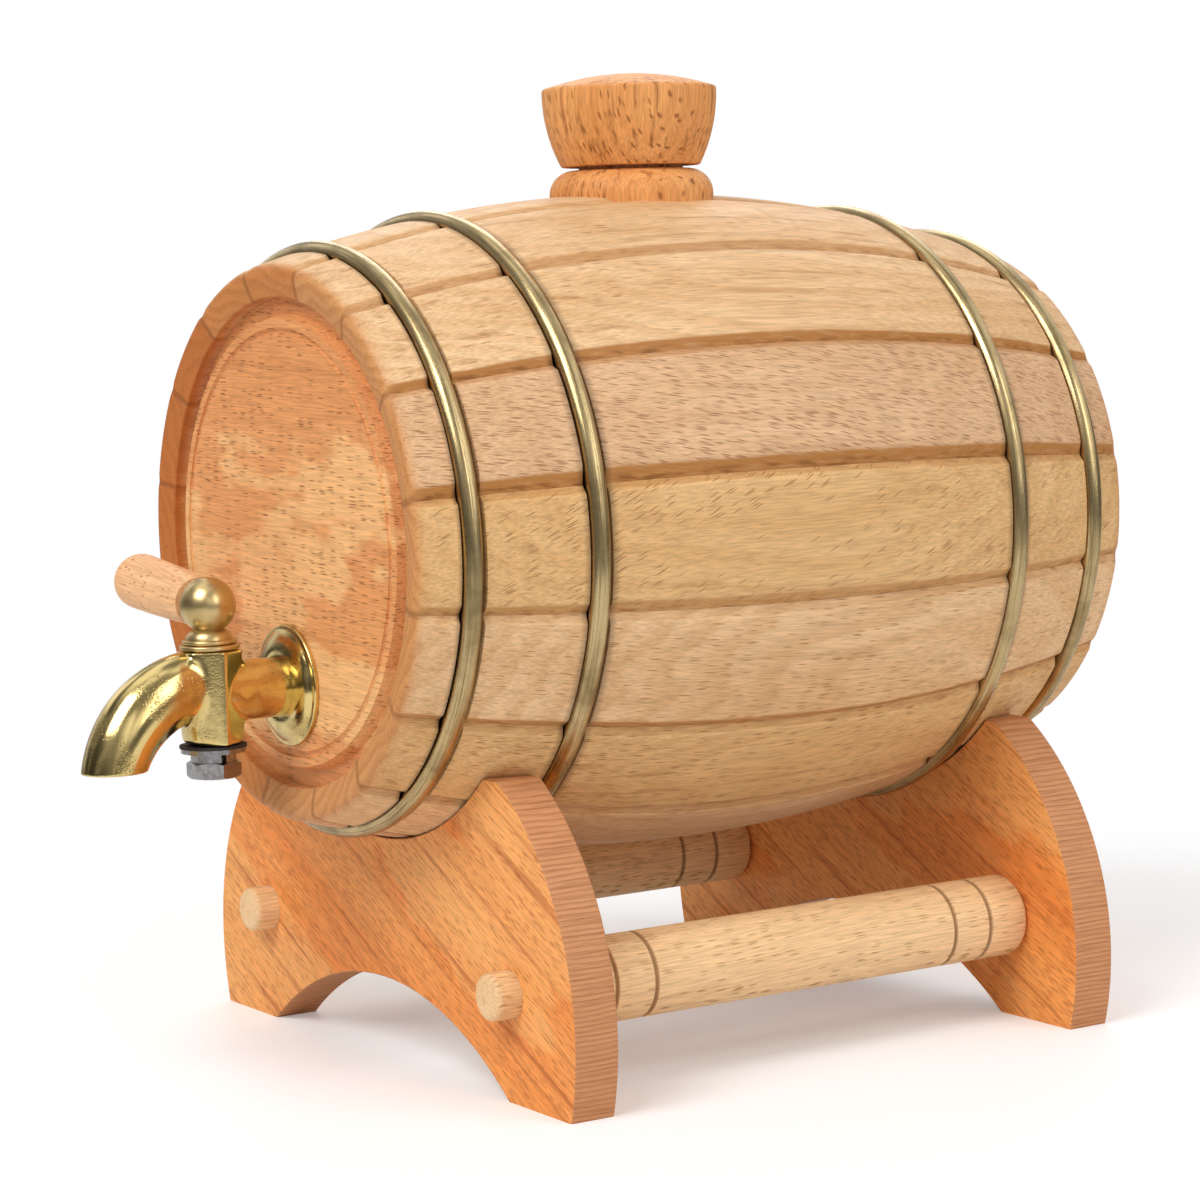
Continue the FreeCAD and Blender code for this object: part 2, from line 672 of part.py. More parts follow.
def make_plug():
    """Turning cock: screw, taper with its port, two beads, neck and ball with the handle's socket."""
    body = new_body("tap_plug")
    section = new_sketch(body, "XZ_Plane")
    outline(
        section,
        [
            ("0", "Worked.screw_end"),
            ("Sizes.screw_diameter / 2 - Sizes.bead_height / 2", "Worked.screw_end"),
            ("Sizes.screw_diameter / 2", "Worked.screw_end + Sizes.bead_height / 2"),
            ("Sizes.screw_diameter / 2", "-Sizes.tap_block_below"),
            ("Sizes.plug_tip_diameter / 2", "-Sizes.tap_block_below"),
            ("Sizes.plug_top_diameter / 2", "Sizes.tap_block_above"),
            ("Sizes.plug_top_diameter / 2", "Worked.bead_base"),
            ("Worked.bead_root", "Worked.bead_base"),
            ("Worked.bead_root", "Worked.bead_base + Sizes.bead_height"),
            ("Worked.bead_root", "Worked.bead_top"),
            ("Sizes.neck_diameter / 2", "Worked.neck_base"),
            ("Sizes.neck_diameter / 2", "Worked.ball_foot"),
            ("0", "Sizes.ball_rise + Sizes.ball_diameter / 2"),
        ],
        {
            7: ("Worked.bead_round", "left"),
            8: ("Worked.bead_round", "left"),
            9: ("Sizes.neck_flare", "right"),
            11: ("Sizes.ball_diameter / 2", "left"),
        },
    )
    turned(body, section, "V_Axis")
    port = new_sketch(body, "YZ_Plane")
    circle(port, "0", "0", "Sizes.tap_port / 2")
    through_cut(body, port)
    tilt = FreeCAD.Rotation(ROUND_ABOUT_Z, -number("Sizes.handle_tilt"))
    socket = new_sketch(body, "XZ_Plane", {"y": "Sizes.ball_rise"}, tilt)
    outline(
        socket,
        [
            ("-Sizes.ball_diameter", "0"),
            ("-Worked.handle_inner", "0"),
            ("-Worked.handle_inner", "Sizes.handle_tenon / 2 + Sizes.brass_fit"),
            ("-Sizes.ball_diameter", "Sizes.handle_tenon / 2 + Sizes.brass_fit"),
        ],
    )
    turned_cut(body, socket, "H_Axis")
    place(body, y="Worked.stem_y", z="Worked.tap_height")


def make_handle():
    """Dowel handle, thicker towards its domed end, with a tenon in the ball."""
    body = new_body("tap_handle")
    section = new_sketch(body, "XY_Plane")
    outline(
        section,
        [
            ("Worked.handle_inner", "0"),
            ("Worked.handle_inner", "Sizes.handle_tenon / 2"),
            ("Worked.handle_shoulder", "Sizes.handle_tenon / 2"),
            ("Worked.handle_shoulder", "Sizes.handle_root / 2"),
            ("Worked.handle_dome_foot", "Sizes.handle_end / 2"),
            ("Sizes.handle_reach", "0"),
        ],
        {4: ("Worked.handle_dome_arc", "right")},
    )
    turned(body, section, "H_Axis")
    turn = FreeCAD.Rotation(ROUND_ABOUT_Y, FULL_TURN / 2 + number("Sizes.handle_tilt"))
    place(body, y="Worked.stem_y", z="Worked.tap_height + Sizes.ball_rise", turn=turn)


def make_washer(label, diameter, top, thickness):
    """Flat ring on the screw."""
    body = new_body(label)
    section = new_sketch(body, "XZ_Plane")
    outline(
        section,
        [
            ("Worked.screw_hole", f"{top} - {thickness}"),
            (f"{diameter} / 2", f"{top} - {thickness}"),
            (f"{diameter} / 2", top),
            ("Worked.screw_hole", top),
        ],
    )
    turned(body, section, "V_Axis")
    place(body, y="Worked.stem_y", z="Worked.tap_height")
    return body


def make_spring_washer():
    """Split ring under the flat washer."""
    body = make_washer("tap_spring_washer", "Sizes.spring_washer_diameter", "Worked.spring_top",
                       "Sizes.spring_washer_thickness")
    slot = new_sketch(body, "XY_Plane", {"z": "Worked.spring_top"})
    outline(
        slot,
        [
            ("0", "-Sizes.spring_washer_slot / 2"),
            ("Sizes.spring_washer_diameter", "-Sizes.spring_washer_slot / 2"),
            ("Sizes.spring_washer_diameter", "Sizes.spring_washer_slot / 2"),
            ("0", "Sizes.spring_washer_slot / 2"),
        ],
    )
    pocket(body, slot, "Sizes.spring_washer_thickness")


def make_nut():
    """Six-sided nut with its corners turned off at both ends."""
    body = new_body("tap_nut")
    flats = new_sketch(body, "XY_Plane", {"z": "Worked.nut_base"})
    outline(flats, regular_corners(6, "Worked.nut_corner", 0))
    pad(body, flats, "Sizes.nut_height")
    corners = new_sketch(body, "XZ_Plane")
    for face, inward in (("Worked.nut_base", "+"), ("Worked.nut_top", "-")):
        outline(
            corners,
            [
                ("Sizes.nut_across_flats / 2", face),
                ("Sizes.nut_across_flats", face),
                ("Sizes.nut_across_flats", f"{face} {inward} Worked.nut_chamfer_height"),
            ],
        )
    turned_cut(body, corners, "V_Axis")
    hole = new_sketch(body, "XY_Plane")
    circle(hole, "0", "0", "Worked.screw_hole")
    through_cut(body, hole)
    turn = FreeCAD.Rotation(ROUND_ABOUT_Z, number("Sizes.nut_turn"))
    place(body, y="Worked.stem_y", z="Worked.tap_height", turn=turn)


def make_cradle_plate(label, rear):
    """Upright plate: a disc cut to two feet and an arch, with a saddle that follows the cask.

    The rear plate is turned round, so it has the spreaders' holes on the opposite sides.
    """
    body = new_body(label)
    disc = new_sketch(body, "XZ_Plane", {"z": "Worked.plate_out"})
    outline(
        disc,
        [
            ("-Worked.foot_reach", "0"),
            ("-Sizes.arch_width / 2", "0"),
            ("Sizes.arch_width / 2", "0"),
            ("Worked.foot_reach", "0"),
            ("0", "Worked.plate_peak"),
        ],
        {
            1: ("Worked.arch_arc", "right"),
            3: ("Sizes.plate_side_radius", "left"),
            4: ("Sizes.plate_side_radius", "left"),
        },
    )
    pad(body, disc, "Sizes.plate_thickness", backwards=True)
    saddle = new_sketch(body, "YZ_Plane", {"y": "Sizes.axis_height"})
    outline(
        saddle,
        [
            ("-Worked.saddle_out", "0"),
            ("-Worked.saddle_in", "0"),
            ("-Worked.saddle_in", "Worked.saddle_in_radius"),
            ("-Worked.saddle_out", "Worked.saddle_out_radius"),
        ],
        {2: ("Worked.saddle_arc", "left")},
    )
    turned_cut(body, saddle, "H_Axis")
    horns = new_sketch(body, "XY_Plane", {"z": "Sizes.horn_height"})
    outline(
        horns,
        [
            ("-Worked.plate_half_width", "-Worked.saddle_out"),
            ("Worked.plate_half_width", "-Worked.saddle_out"),
            ("Worked.plate_half_width", "-Worked.saddle_in"),
            ("-Worked.plate_half_width", "-Worked.saddle_in"),
        ],
    )
    above = pocket(body, horns, "Worked.plate_half_width")
    above.Reversed = True
    holes = new_sketch(body, "XZ_Plane")
    left, right = ("", "-") if rear else ("-", "")
    circle(holes, left + "Worked.spreader_x", "Sizes.left_spreader_height", "Worked.tenon_hole")
    circle(holes, right + "Worked.spreader_x", "Sizes.right_spreader_height", "Worked.tenon_hole")
    bored = through_cut(body, holes)
    side_x = number("Sizes.plate_side_centre")
    horn = number("Sizes.horn_height")

    def on_horn_corner(edge):
        middle = edge.valueAt((edge.FirstParameter + edge.LastParameter) / 2)
        along_y = edge.Curve.TypeId == "Part::GeomLine" and abs(edge.Curve.Direction.y) > 0.99
        return along_y and abs(middle.z - horn) < 0.01 and abs(middle.x) > side_x

    cornered = dress(body, "Fillet", bored, edges_where(bored, on_horn_corner), "Radius",
                     "Sizes.horn_rounding")
    eased = (number("Sizes.plate_side_radius"), number("Worked.arch_arc"))

    def on_outline(edge):
        curve = edge.Curve
        return curve.TypeId == "Part::GeomCircle" and min(abs(curve.Radius - r) for r in eased) < 0.01

    dress(body, "Fillet", cornered, edges_where(cornered, on_outline), "Radius",
          "Sizes.plate_edge_rounding")
    turn = FreeCAD.Rotation(ROUND_ABOUT_Z, FULL_TURN / 2) if rear else None
    place(body, y="Worked.cask_centre_y", turn=turn)


def make_spreader(label, side, height):
    """Turned rod between the plates, with ring grooves and a tenon through each plate."""
    body = new_body(label)
    tenon = "Sizes.tenon_diameter / 2"
    rod = "Sizes.spreader_diameter / 2"
    half = [
        ("Worked.tenon_end", "0"),
        ("Worked.tenon_end", f"{tenon} - Sizes.tenon_rounding"),
        ("Worked.tenon_end - Sizes.tenon_rounding", tenon),
        ("Worked.spreader_end", tenon),
        ("Worked.spreader_end", f"{rod} - Sizes.spreader_rounding"),
        ("Worked.spreader_end - Sizes.spreader_rounding", rod),
    ]
    front = [(f"-({along})", out) for along, out in half]
    section = new_sketch(body, "YZ_Plane")
    rounds = {
        1: ("Sizes.tenon_rounding", "right"),
        4: ("Sizes.spreader_rounding", "right"),
        6: ("Sizes.spreader_rounding", "right"),
        9: ("Sizes.tenon_rounding", "right"),
    }
    outline(section, front + half[::-1], rounds)
    turned(body, section, "H_Axis")
    rings = new_sketch(body, "YZ_Plane")
    for end in ("-", ""):
        for setback in ("Sizes.spreader_ring_near", "Sizes.spreader_ring_far"):
            place_along = f"{end}(Worked.plate_in - {setback})"
            outline(
                rings,
                [
                    (f"{place_along} - Sizes.spreader_ring_width / 2", rod),
                    (place_along, f"{rod} - Sizes.spreader_ring_depth"),
                    (f"{place_along} + Sizes.spreader_ring_width / 2", rod),
                ],
            )
    turned_cut(body, rings, "H_Axis")
    place(body, x=side + "Worked.spreader_x", y="Worked.cask_centre_y", z=height)


stave_count = int(number("Sizes.stave_count"))
for stave_index in range(1, stave_count + 1):
    make_stave(stave_index, stave_count)
make_head("head_front", front=True)
make_head("head_rear", front=False)
make_hoop("hoop_front_outer", "Worked.outer_hoop_ring", " - Sizes.outer_hoop_offset")
make_hoop("hoop_front_inner", "Worked.inner_hoop_ring", " - Sizes.inner_hoop_offset")
make_hoop("hoop_rear_inner", "Worked.inner_hoop_ring", " + Sizes.inner_hoop_offset")
make_hoop("hoop_rear_outer", "Worked.outer_hoop_ring", " + Sizes.outer_hoop_offset")
make_collar()
make_bung()
make_tap_body()
make_rosette()
make_plug()
make_handle()
make_washer("tap_gasket", "Sizes.gasket_diameter", "Worked.gasket_top", "Sizes.gasket_thickness")
make_washer("tap_flat_washer", "Sizes.washer_diameter", "Worked.washer_top", "Sizes.washer_thickness")
make_spring_washer()
make_nut()
make_cradle_plate("cradle_plate_front", rear=False)
make_cradle_plate("cradle_plate_rear", rear=True)
make_spreader("spreader_left", "-", "Sizes.left_spreader_height")
make_spreader("spreader_right", "", "Sizes.right_spreader_height")
doc.recompute()

for thing in doc.Objects:
    failed = [word for word in thing.State if word in ("Invalid", "Error")]
    if failed:
        raise RuntimeError(f"{thing.Label} is {failed}")
for piece in pieces:
    shape = piece.Shape
    if shape.isNull() or not shape.isValid() or len(shape.Solids) != 1:
        raise RuntimeError(f"{piece.Label} isn't one valid solid")

os.makedirs("parts", exist_ok=True)
for piece in pieces:
    piece.Shape.exportStep(f"parts/{piece.Label}.step")
    volume = piece.Shape.Volume / 1000
    print(f"{piece.Label}: {volume:.2f} cm3")
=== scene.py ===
"""Looks of a small cask on its cradle: planed beech staves, drawn brass hoops and a cast brass tap.

Metres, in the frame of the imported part: +Z up, the floor at z = 0, the tapped head towards -Y.
"""

import math

import bmesh
import bpy
import numpy as np
from mathutils import Matrix, Vector


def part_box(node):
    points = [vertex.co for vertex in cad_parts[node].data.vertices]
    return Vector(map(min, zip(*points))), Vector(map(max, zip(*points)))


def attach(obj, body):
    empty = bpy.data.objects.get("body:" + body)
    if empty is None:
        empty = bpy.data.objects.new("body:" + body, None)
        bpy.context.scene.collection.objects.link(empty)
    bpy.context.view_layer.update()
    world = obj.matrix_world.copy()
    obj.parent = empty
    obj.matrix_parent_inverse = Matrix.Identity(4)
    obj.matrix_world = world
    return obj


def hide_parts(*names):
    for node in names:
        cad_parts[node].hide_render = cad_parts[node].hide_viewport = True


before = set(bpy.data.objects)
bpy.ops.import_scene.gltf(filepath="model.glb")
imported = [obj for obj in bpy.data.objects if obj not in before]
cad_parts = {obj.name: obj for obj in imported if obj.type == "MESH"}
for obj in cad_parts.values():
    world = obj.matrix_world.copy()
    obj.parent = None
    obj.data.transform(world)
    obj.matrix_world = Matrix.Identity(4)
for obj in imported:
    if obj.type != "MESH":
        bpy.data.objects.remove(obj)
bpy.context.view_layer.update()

MM = 0.001
FULL_TURN = 2 * math.pi

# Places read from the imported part.
head_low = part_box("head_front")[0]
rear_low, rear_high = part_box("head_rear")
plug_low, plug_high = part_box("tap_plug")
collar_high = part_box("bung_collar")[1]
AXIS_Z = (rear_low.z + rear_high.z) / 2
CASK_Y = (head_low.y + rear_high.y) / 2
STEM_Y = (plug_low.y + plug_high.y) / 2
INLET_Z = AXIS_Z - 33.2 * MM
TAP_FACE = 20.6 * MM
BALL_RISE = 20.4 * MM
BLOCK_TOP = 10 * MM
BLOCK_BOTTOM = -11.7 * MM
CASK_CENTRE = Vector((0, CASK_Y, AXIS_Z))
TAP_CENTRE = Vector((0, STEM_Y, INLET_Z))

# Sizes of the cask.
STAVES = 16
HALF_LENGTH = 102 * MM
BELLY_RADIUS = 80 * MM
CHIME_RADIUS = 64.4 * MM
STAVE_THICKNESS = 7.4 * MM
CHIME_BEVEL = 2.1 * MM
CHIME_ROUNDING = 2.5 * MM
BILGE_RISE = BELLY_RADIUS - CHIME_RADIUS
BILGE_ARC = (HALF_LENGTH ** 2 + BILGE_RISE ** 2) / (2 * BILGE_RISE)
ARC_DEPTH = BILGE_ARC - BELLY_RADIUS
HOOP_OFFSETS = (-89 * MM, -60 * MM, 60 * MM, 89 * MM)
HOOP_NAMES = ("hoop_front_outer", "hoop_front_inner", "hoop_rear_inner", "hoop_rear_outer")
HOOP_WIRE = 4.8 * MM
HOOP_SINK = 0.6 * MM
HOOP_SLACK = 0.3 * MM
BUNG_GAP = 0.8 * MM
BUNG_DEPTH = 23 * MM
BUNG_HOLE = 13.1 * MM
JOINT_WIDTH = 2.7 * MM
JOINT_DEPTH = 1.3 * MM
CROZE_OUT = 95 * MM
CROZE_IN = 90 * MM
CROZE_DEPTH = 4 * MM
FLOOR_HALF = 0.62


def bilge(along, arc=BILGE_ARC):
    """Radius of the cask's outer curve at a distance along it: a circular arc about a far centre."""
    return np.sqrt(arc ** 2 - np.asarray(along) ** 2) - ARC_DEPTH


# Meshes.


def link(name, data):
    """A new object in the scene."""
    thing = bpy.data.objects.new(name, data)
    bpy.context.scene.collection.objects.link(thing)
    return thing


def evaluated(thing):
    """The mesh that an object's modifiers make. The object itself is removed."""
    bpy.context.view_layer.update()
    mesh = bpy.data.meshes.new_from_object(thing.evaluated_get(bpy.context.evaluated_depsgraph_get()))
    bpy.data.objects.remove(thing)
    return mesh


def smooth_mesh(points, faces, values=None, sharp=35):
    """Mesh with merged doubles, faces outwards, values kept as attributes of its points."""
    mesh = bpy.data.meshes.new("mesh")
    mesh.from_pydata(np.asarray(points).reshape(-1, 3).tolist(), [], [list(face) for face in faces])
    for key, value in (values or {}).items():
        attribute = mesh.attributes.new(key, "FLOAT", "POINT")
        attribute.data.foreach_set("value", np.asarray(value, np.float32).ravel())
    work = bmesh.new()
    work.from_mesh(mesh)
    bmesh.ops.remove_doubles(work, verts=work.verts, dist=1e-7)
    bmesh.ops.recalc_face_normals(work, faces=work.faces)
    work.to_mesh(mesh)
    work.free()
    mesh.polygons.foreach_set("use_smooth", np.ones(len(mesh.polygons), bool))
    mesh.set_sharp_from_angle(angle=math.radians(sharp))
    return mesh


def numbered(rows, columns):
    """A grid's point numbers."""
    return np.arange(rows * columns).reshape(rows, columns)


def grid_faces(rows, columns, ring_rows=False, ring_columns=False):
    """Corner numbers of the quads of a grid, closed into a ring along either parameter."""
    index = numbered(rows, columns)
    if ring_rows:
        index = np.vstack([index, index[:1]])
    if ring_columns:
        index = np.hstack([index, index[:, :1]])
    corners = (index[:-1, :-1], index[:-1, 1:], index[1:, 1:], index[1:, :-1])
    return np.stack(corners, axis=-1).reshape(-1, 4).tolist()


def grid_mesh(grid, ring=False, values=None, sharp=35):
    """Mesh of a grid whose columns close into a ring, and whose rows do so too where ring is set."""
    return smooth_mesh(grid, grid_faces(*grid.shape[:2], ring, True), values, sharp)


def add_piece(name, mesh, body, material, replaced=()):
    """Put a mesh in the scene, riding on a body and standing for CAD nodes."""
    piece = link(name, mesh)
    mesh.name = name
    mesh.materials.append(material)
    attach(piece, body)
    if replaced:
        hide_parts(*replaced)


def rounded(corners, steps=7):
    """Polyline through corners (along, radius, rounding), each turned into an arc of its rounding."""
    places = np.array([corner[:2] for corner in corners], float)
    line = [places[0]]
    for before, here, after, corner in zip(places, places[1:], places[2:], corners[1:]):
        towards = (before - here) / np.linalg.norm(before - here)
        onwards = (after - here) / np.linalg.norm(after - here)
        half = math.acos(np.clip(towards @ onwards, -1, 1)) / 2
        if corner[2] == 0 or half > math.pi / 2 - 0.01:
            line.append(here)
            continue
        bisector = (towards + onwards) / np.linalg.norm(towards + onwards)
        centre = here + bisector * corner[2] / math.sin(half)
        spread = math.pi / 2 - half
        middle = math.atan2(-bisector[1], -bisector[0])
        turn = np.linspace(-spread, spread, steps)
        if towards[0] * onwards[1] - towards[1] * onwards[0] < 0:
            turn = -turn
        arc = centre + corner[2] * np.stack([np.cos(middle - turn), np.sin(middle - turn)], axis=1)
        if np.linalg.norm(arc[0] - line[-1]) > np.linalg.norm(arc[-1] - line[-1]):
            arc = arc[::-1]
        line.extend(arc)
    line.append(places[-1])
    return np.array(line)


def bow(start, end, bulge, steps=24):
    """Points of a parabola between two points, standing off the middle of their chord by bulge."""
    share = np.linspace(0, 1, steps)[:, None]
    start, end = np.array(start, float), np.array(end, float)
    chord = end - start
    normal = np.array([-chord[1], chord[0]]) / np.linalg.norm(chord)
    return start + chord * share + normal * (4 * bulge * share * (1 - share))


def turned(profile, axis, centre, steps=128):
    """Grid of a turned form: each profile point (along, radius) is carried round the axis."""
    turn = np.arange(steps) * FULL_TURN / steps
    along = np.repeat(profile[:, :1], steps, axis=1)
    side = profile[:, 1:] * np.cos(turn)
    other = profile[:, 1:] * np.sin(turn)
    order = {"X": (along, side, other), "Y": (other, along, side), "Z": (side, other, along)}[axis]
    return np.stack(order, axis=-1) + np.array(centre)


def turned_mesh(profile, axis, centre, steps=128, ring=False, sharp=35):
    """Mesh of a turned form. A ring's profile is a closed loop; other profiles end on the axis."""
    return grid_mesh(turned(np.asarray(profile), axis, centre, steps), ring, sharp=sharp)


def cut_out(mesh, drills, sharp=50):
    """A mesh with drills cut out of it by booleans."""
    blank = link("blank", mesh)
    cutters = [link("drill", drill) for drill in drills]
    for cutter in cutters:
        cut = blank.modifiers.new("hole", "BOOLEAN")
        cut.operation = "DIFFERENCE"
        cut.object = cutter
    result = evaluated(blank)
    for cutter in cutters:
        bpy.data.objects.remove(cutter)
    result.set_sharp_from_angle(angle=math.radians(sharp))
    return result


# Materials.


def shade(red, green, blue):
    """A colour given as 0 to 255 on screen, as the linear values that a shader takes."""
    screen = np.array([red, green, blue]) / 255
    linear = np.where(screen <= 0.04045, screen / 12.92, ((screen + 0.055) / 1.055) ** 2.4)
    return (*linear.tolist(), 1.0)


class Tree:
    """A material's nodes, with short calls for the ones used here."""

    def __init__(self, name):
        self.material = bpy.data.materials.new(name)
        self.material.use_nodes = True
        self.tree = self.material.node_tree
        self.shader = self.tree.nodes["Principled BSDF"]

    def set(self, socket, value):
        """Link a socket, or give it a plain value."""
        if isinstance(value, bpy.types.NodeSocket):
            self.tree.links.new(value, socket)
        else:
            socket.default_value = value

    def add(self, kind, settings=None, places=None, **inputs):
        """A node with its settings, and its inputs by place or by name."""
        node = self.tree.nodes.new("ShaderNode" + kind)
        for key, value in (settings or {}).items():
            setattr(node, key, value)
        for key, value in inputs.items():
            self.set(node.inputs[key.replace("_", " ")], value)
        for place, value in (places or {}).items():
            self.set(node.inputs[place], value)
        return node

    def dress(self, **inputs):
        """Set the shader's own sockets by name, and give back the finished material."""
        for key, value in inputs.items():
            self.set(self.shader.inputs[key.replace("_", " ")], value)
        return self.material

    def pair(self, kind, operation, first, second):
        """A node that works on two values."""
        return self.add(kind, {"operation": operation}, {0: first, 1: second})

    def math(self, operation, first, second=0.0):
        """One arithmetic step."""
        return self.pair("Math", operation, first, second).outputs[0]

    def times(self, first, second):
        """A product."""
        return self.math("MULTIPLY", first, second)

    def stretch(self, vector, factors):
        """A vector times factors."""
        return self.pair("VectorMath", "MULTIPLY", vector, factors).outputs[0]

    def shift(self, vector, by):
        """A vector plus another."""
        return self.pair("VectorMath", "ADD", vector, by).outputs[0]

    def vector(self, **parts):
        """A vector from its X, Y and Z."""
        return self.add("CombineXYZ", **parts).outputs[0]

    def part(self, vector, axis):
        """One of a vector's three parts."""
        return self.add("SeparateXYZ", Vector=vector).outputs[axis]

    def step(self, value, low, high, bottom=0.0, top=1.0):
        """Smooth step from low to high, mapped to bottom and top."""
        return self.add("MapRange", {"interpolation_type": "SMOOTHSTEP"}, Value=value, From_Min=low,
                        From_Max=high, To_Min=bottom, To_Max=top).outputs[0]

    def mix(self, factor, first, second, blend="MIX"):
        """Two colours mixed."""
        return self.add("Mix", {"data_type": "RGBA", "blend_type": blend},
                        {0: factor, 6: first, 7: second}).outputs[2]

    def noise(self, vector, factors=None, detail=2.0, roughness=0.5):
        """Soft noise, as many cycles to the metre along each axis as the factors say."""
        scaled = self.stretch(vector, factors) if factors else vector
        node = self.add("TexNoise", Vector=scaled, Scale=1.0, Detail=detail, Roughness=roughness)
        return node.outputs["Fac"]

    def cells(self, vector, factors):
        """Cell pattern stretched by factors."""
        return self.add("TexVoronoi", {"feature": "F1"}, Scale=1.0, Vector=self.stretch(vector, factors))

    def year(self, place):
        """A number of its own for each growth ring, from the whole part of the place."""
        return self.noise(self.vector(X=self.math("FLOOR", place)), detail=0)

    def value_of(self, attribute):
        """A value that the mesh carries on its points."""
        return self.add("Attribute", {"attribute_name": attribute}).outputs["Fac"]

    def position(self, centre=(0, 0, 0), turn=(0, 0, 0)):
        """Object coordinates seen from a board's own place and axes."""
        source = self.add("TexCoord").outputs["Object"]
        return self.add("Mapping", {"vector_type": "TEXTURE"}, Vector=source, Location=centre,
                        Rotation=turn).outputs[0]

    def bump(self, height, distance, strength=1.0):
        """Surface relief of a height from 0 to 1 times a distance in metres."""
        return self.add("Bump", Height=height, Strength=strength, Distance=distance).outputs[0]


class Surround(Tree):
    """The world's nodes."""

    def __init__(self, world):
        self.material = world
        self.tree = world.node_tree
        self.shader = self.tree.nodes["Background"]


def board_turn(along, depth):
    """Euler angles of a board whose grain runs one way and whose face looks another way."""
    along, depth = Vector(along).normalized(), Vector(depth).normalized()
    across = depth.cross(along)
    return Matrix((along, across, depth)).transposed().to_euler()


def wood(name, centre, along, depth, tones, seed=0.0, pith=(-0.12, 0.03), runout=0.0, rings=0.35,
         ring_count=430, broad=0.5, streaks=0.3, flecks=(0.2, 0.6), fleck_size=(200, 2500, 500),
         fleck_depth=0.75, slant=0.0, clouds=0.0, stained=None):
    """Beech: growth rings about a far pith, soft streaks, fine fibres and short dark flecks.

    Board coordinates are along, across and depth. A ring's place is the distance from the pith, which
    leans by the runout, warped by noise. A fleck is the inner part of a cell of a cell pattern
    stretched along the grain or slanting to it, kept in a share of the cells that changes between
    two limits. Clouds are paler parts with a clear edge.
    """
    base, streak, fleck, pale = (shade(*tone) for tone in tones)
    tree = Tree(name)
    board = tree.position(centre, board_turn(along, depth))
    lengthwise = tree.part(board, 0)
    board = tree.shift(board, (0.7 * seed, 0.031 * seed, 0.017 * seed))
    warp = tree.noise(board, (5, 30, 30))
    off_across = tree.math("SUBTRACT", tree.part(board, 1), pith[0] + 0.031 * seed)
    off_depth = tree.math("SUBTRACT", tree.part(board, 2), pith[1] + 0.017 * seed)
    off_depth = tree.math("ADD", off_depth, tree.times(lengthwise, runout))
    squared = tree.math("ADD", tree.math("POWER", off_across, 2.0), tree.math("POWER", off_depth, 2.0))
    radius = tree.math("SQRT", squared)
    waved = tree.math("ADD", tree.times(radius, ring_count), tree.times(warp, 7.0))
    year = tree.year(waved)
    place = tree.math("FRACT", waved)
    ring = tree.times(tree.step(place, 0.15, 0.8), tree.step(place, 0.82, 1.0, 1.0, 0.0))
    ring = tree.times(ring, tree.step(year, 0.3, 0.7))
    wide = tree.noise(board, (7, 62, 62), 3)
    bend = tree.times(warp, 0.006)
    bent = tree.shift(board, tree.vector(Y=bend, Z=bend))
    fibre = tree.noise(bent, (120, 2600, 2600))
    lines = tree.noise(bent, (15, 430, 430), 3)
    slanted = tree.vector(Y=tree.times(lengthwise, slant))
    cells = tree.cells(tree.shift(bent, slanted), fleck_size)
    inner = tree.step(cells.outputs["Distance"], 0.18, 0.42, 1.0, 0.0)
    chosen = tree.part(cells.outputs["Color"], 0)
    share = tree.step(tree.noise(board, (13, 52, 52)), 0.36, 0.64, *flecks)
    kept = tree.step(tree.math("ADD", chosen, share), 1.0, 1.12)
    marks = tree.times(inner, kept)

    colour = tree.mix(tree.step(wide, 0.25, 0.75, 0.0, broad), base, streak)
    colour = tree.mix(tree.times(ring, rings), colour, streak)
    if clouds:
        cloud = tree.noise(board, (11, 26, 26), 5, 0.55)
        colour = tree.mix(tree.step(cloud, 0.49, 0.53, 0.0, clouds), colour, pale)
    colour = tree.mix(tree.step(lines, 0.54, 0.74, 0.0, streaks), colour, fleck)
    grainy = tree.step(fibre, 0.3, 0.7, 0.85, 1.12)
    colour = tree.mix(1.0, colour, tree.vector(X=grainy, Y=grainy, Z=grainy), "MULTIPLY")
    colour = tree.mix(tree.times(marks, fleck_depth), colour, fleck)
    if stained:
        colour = stained(tree, colour, board, ring)
    relief = tree.math("SUBTRACT", tree.times(fibre, 0.45), marks)
    return tree.dress(Base_Color=colour, Roughness=tree.step(wide, 0.2, 0.8, 0.5, 0.62),
                      Specular_IOR_Level=0.3, Normal=tree.bump(relief, 0.1 * MM, 0.6))


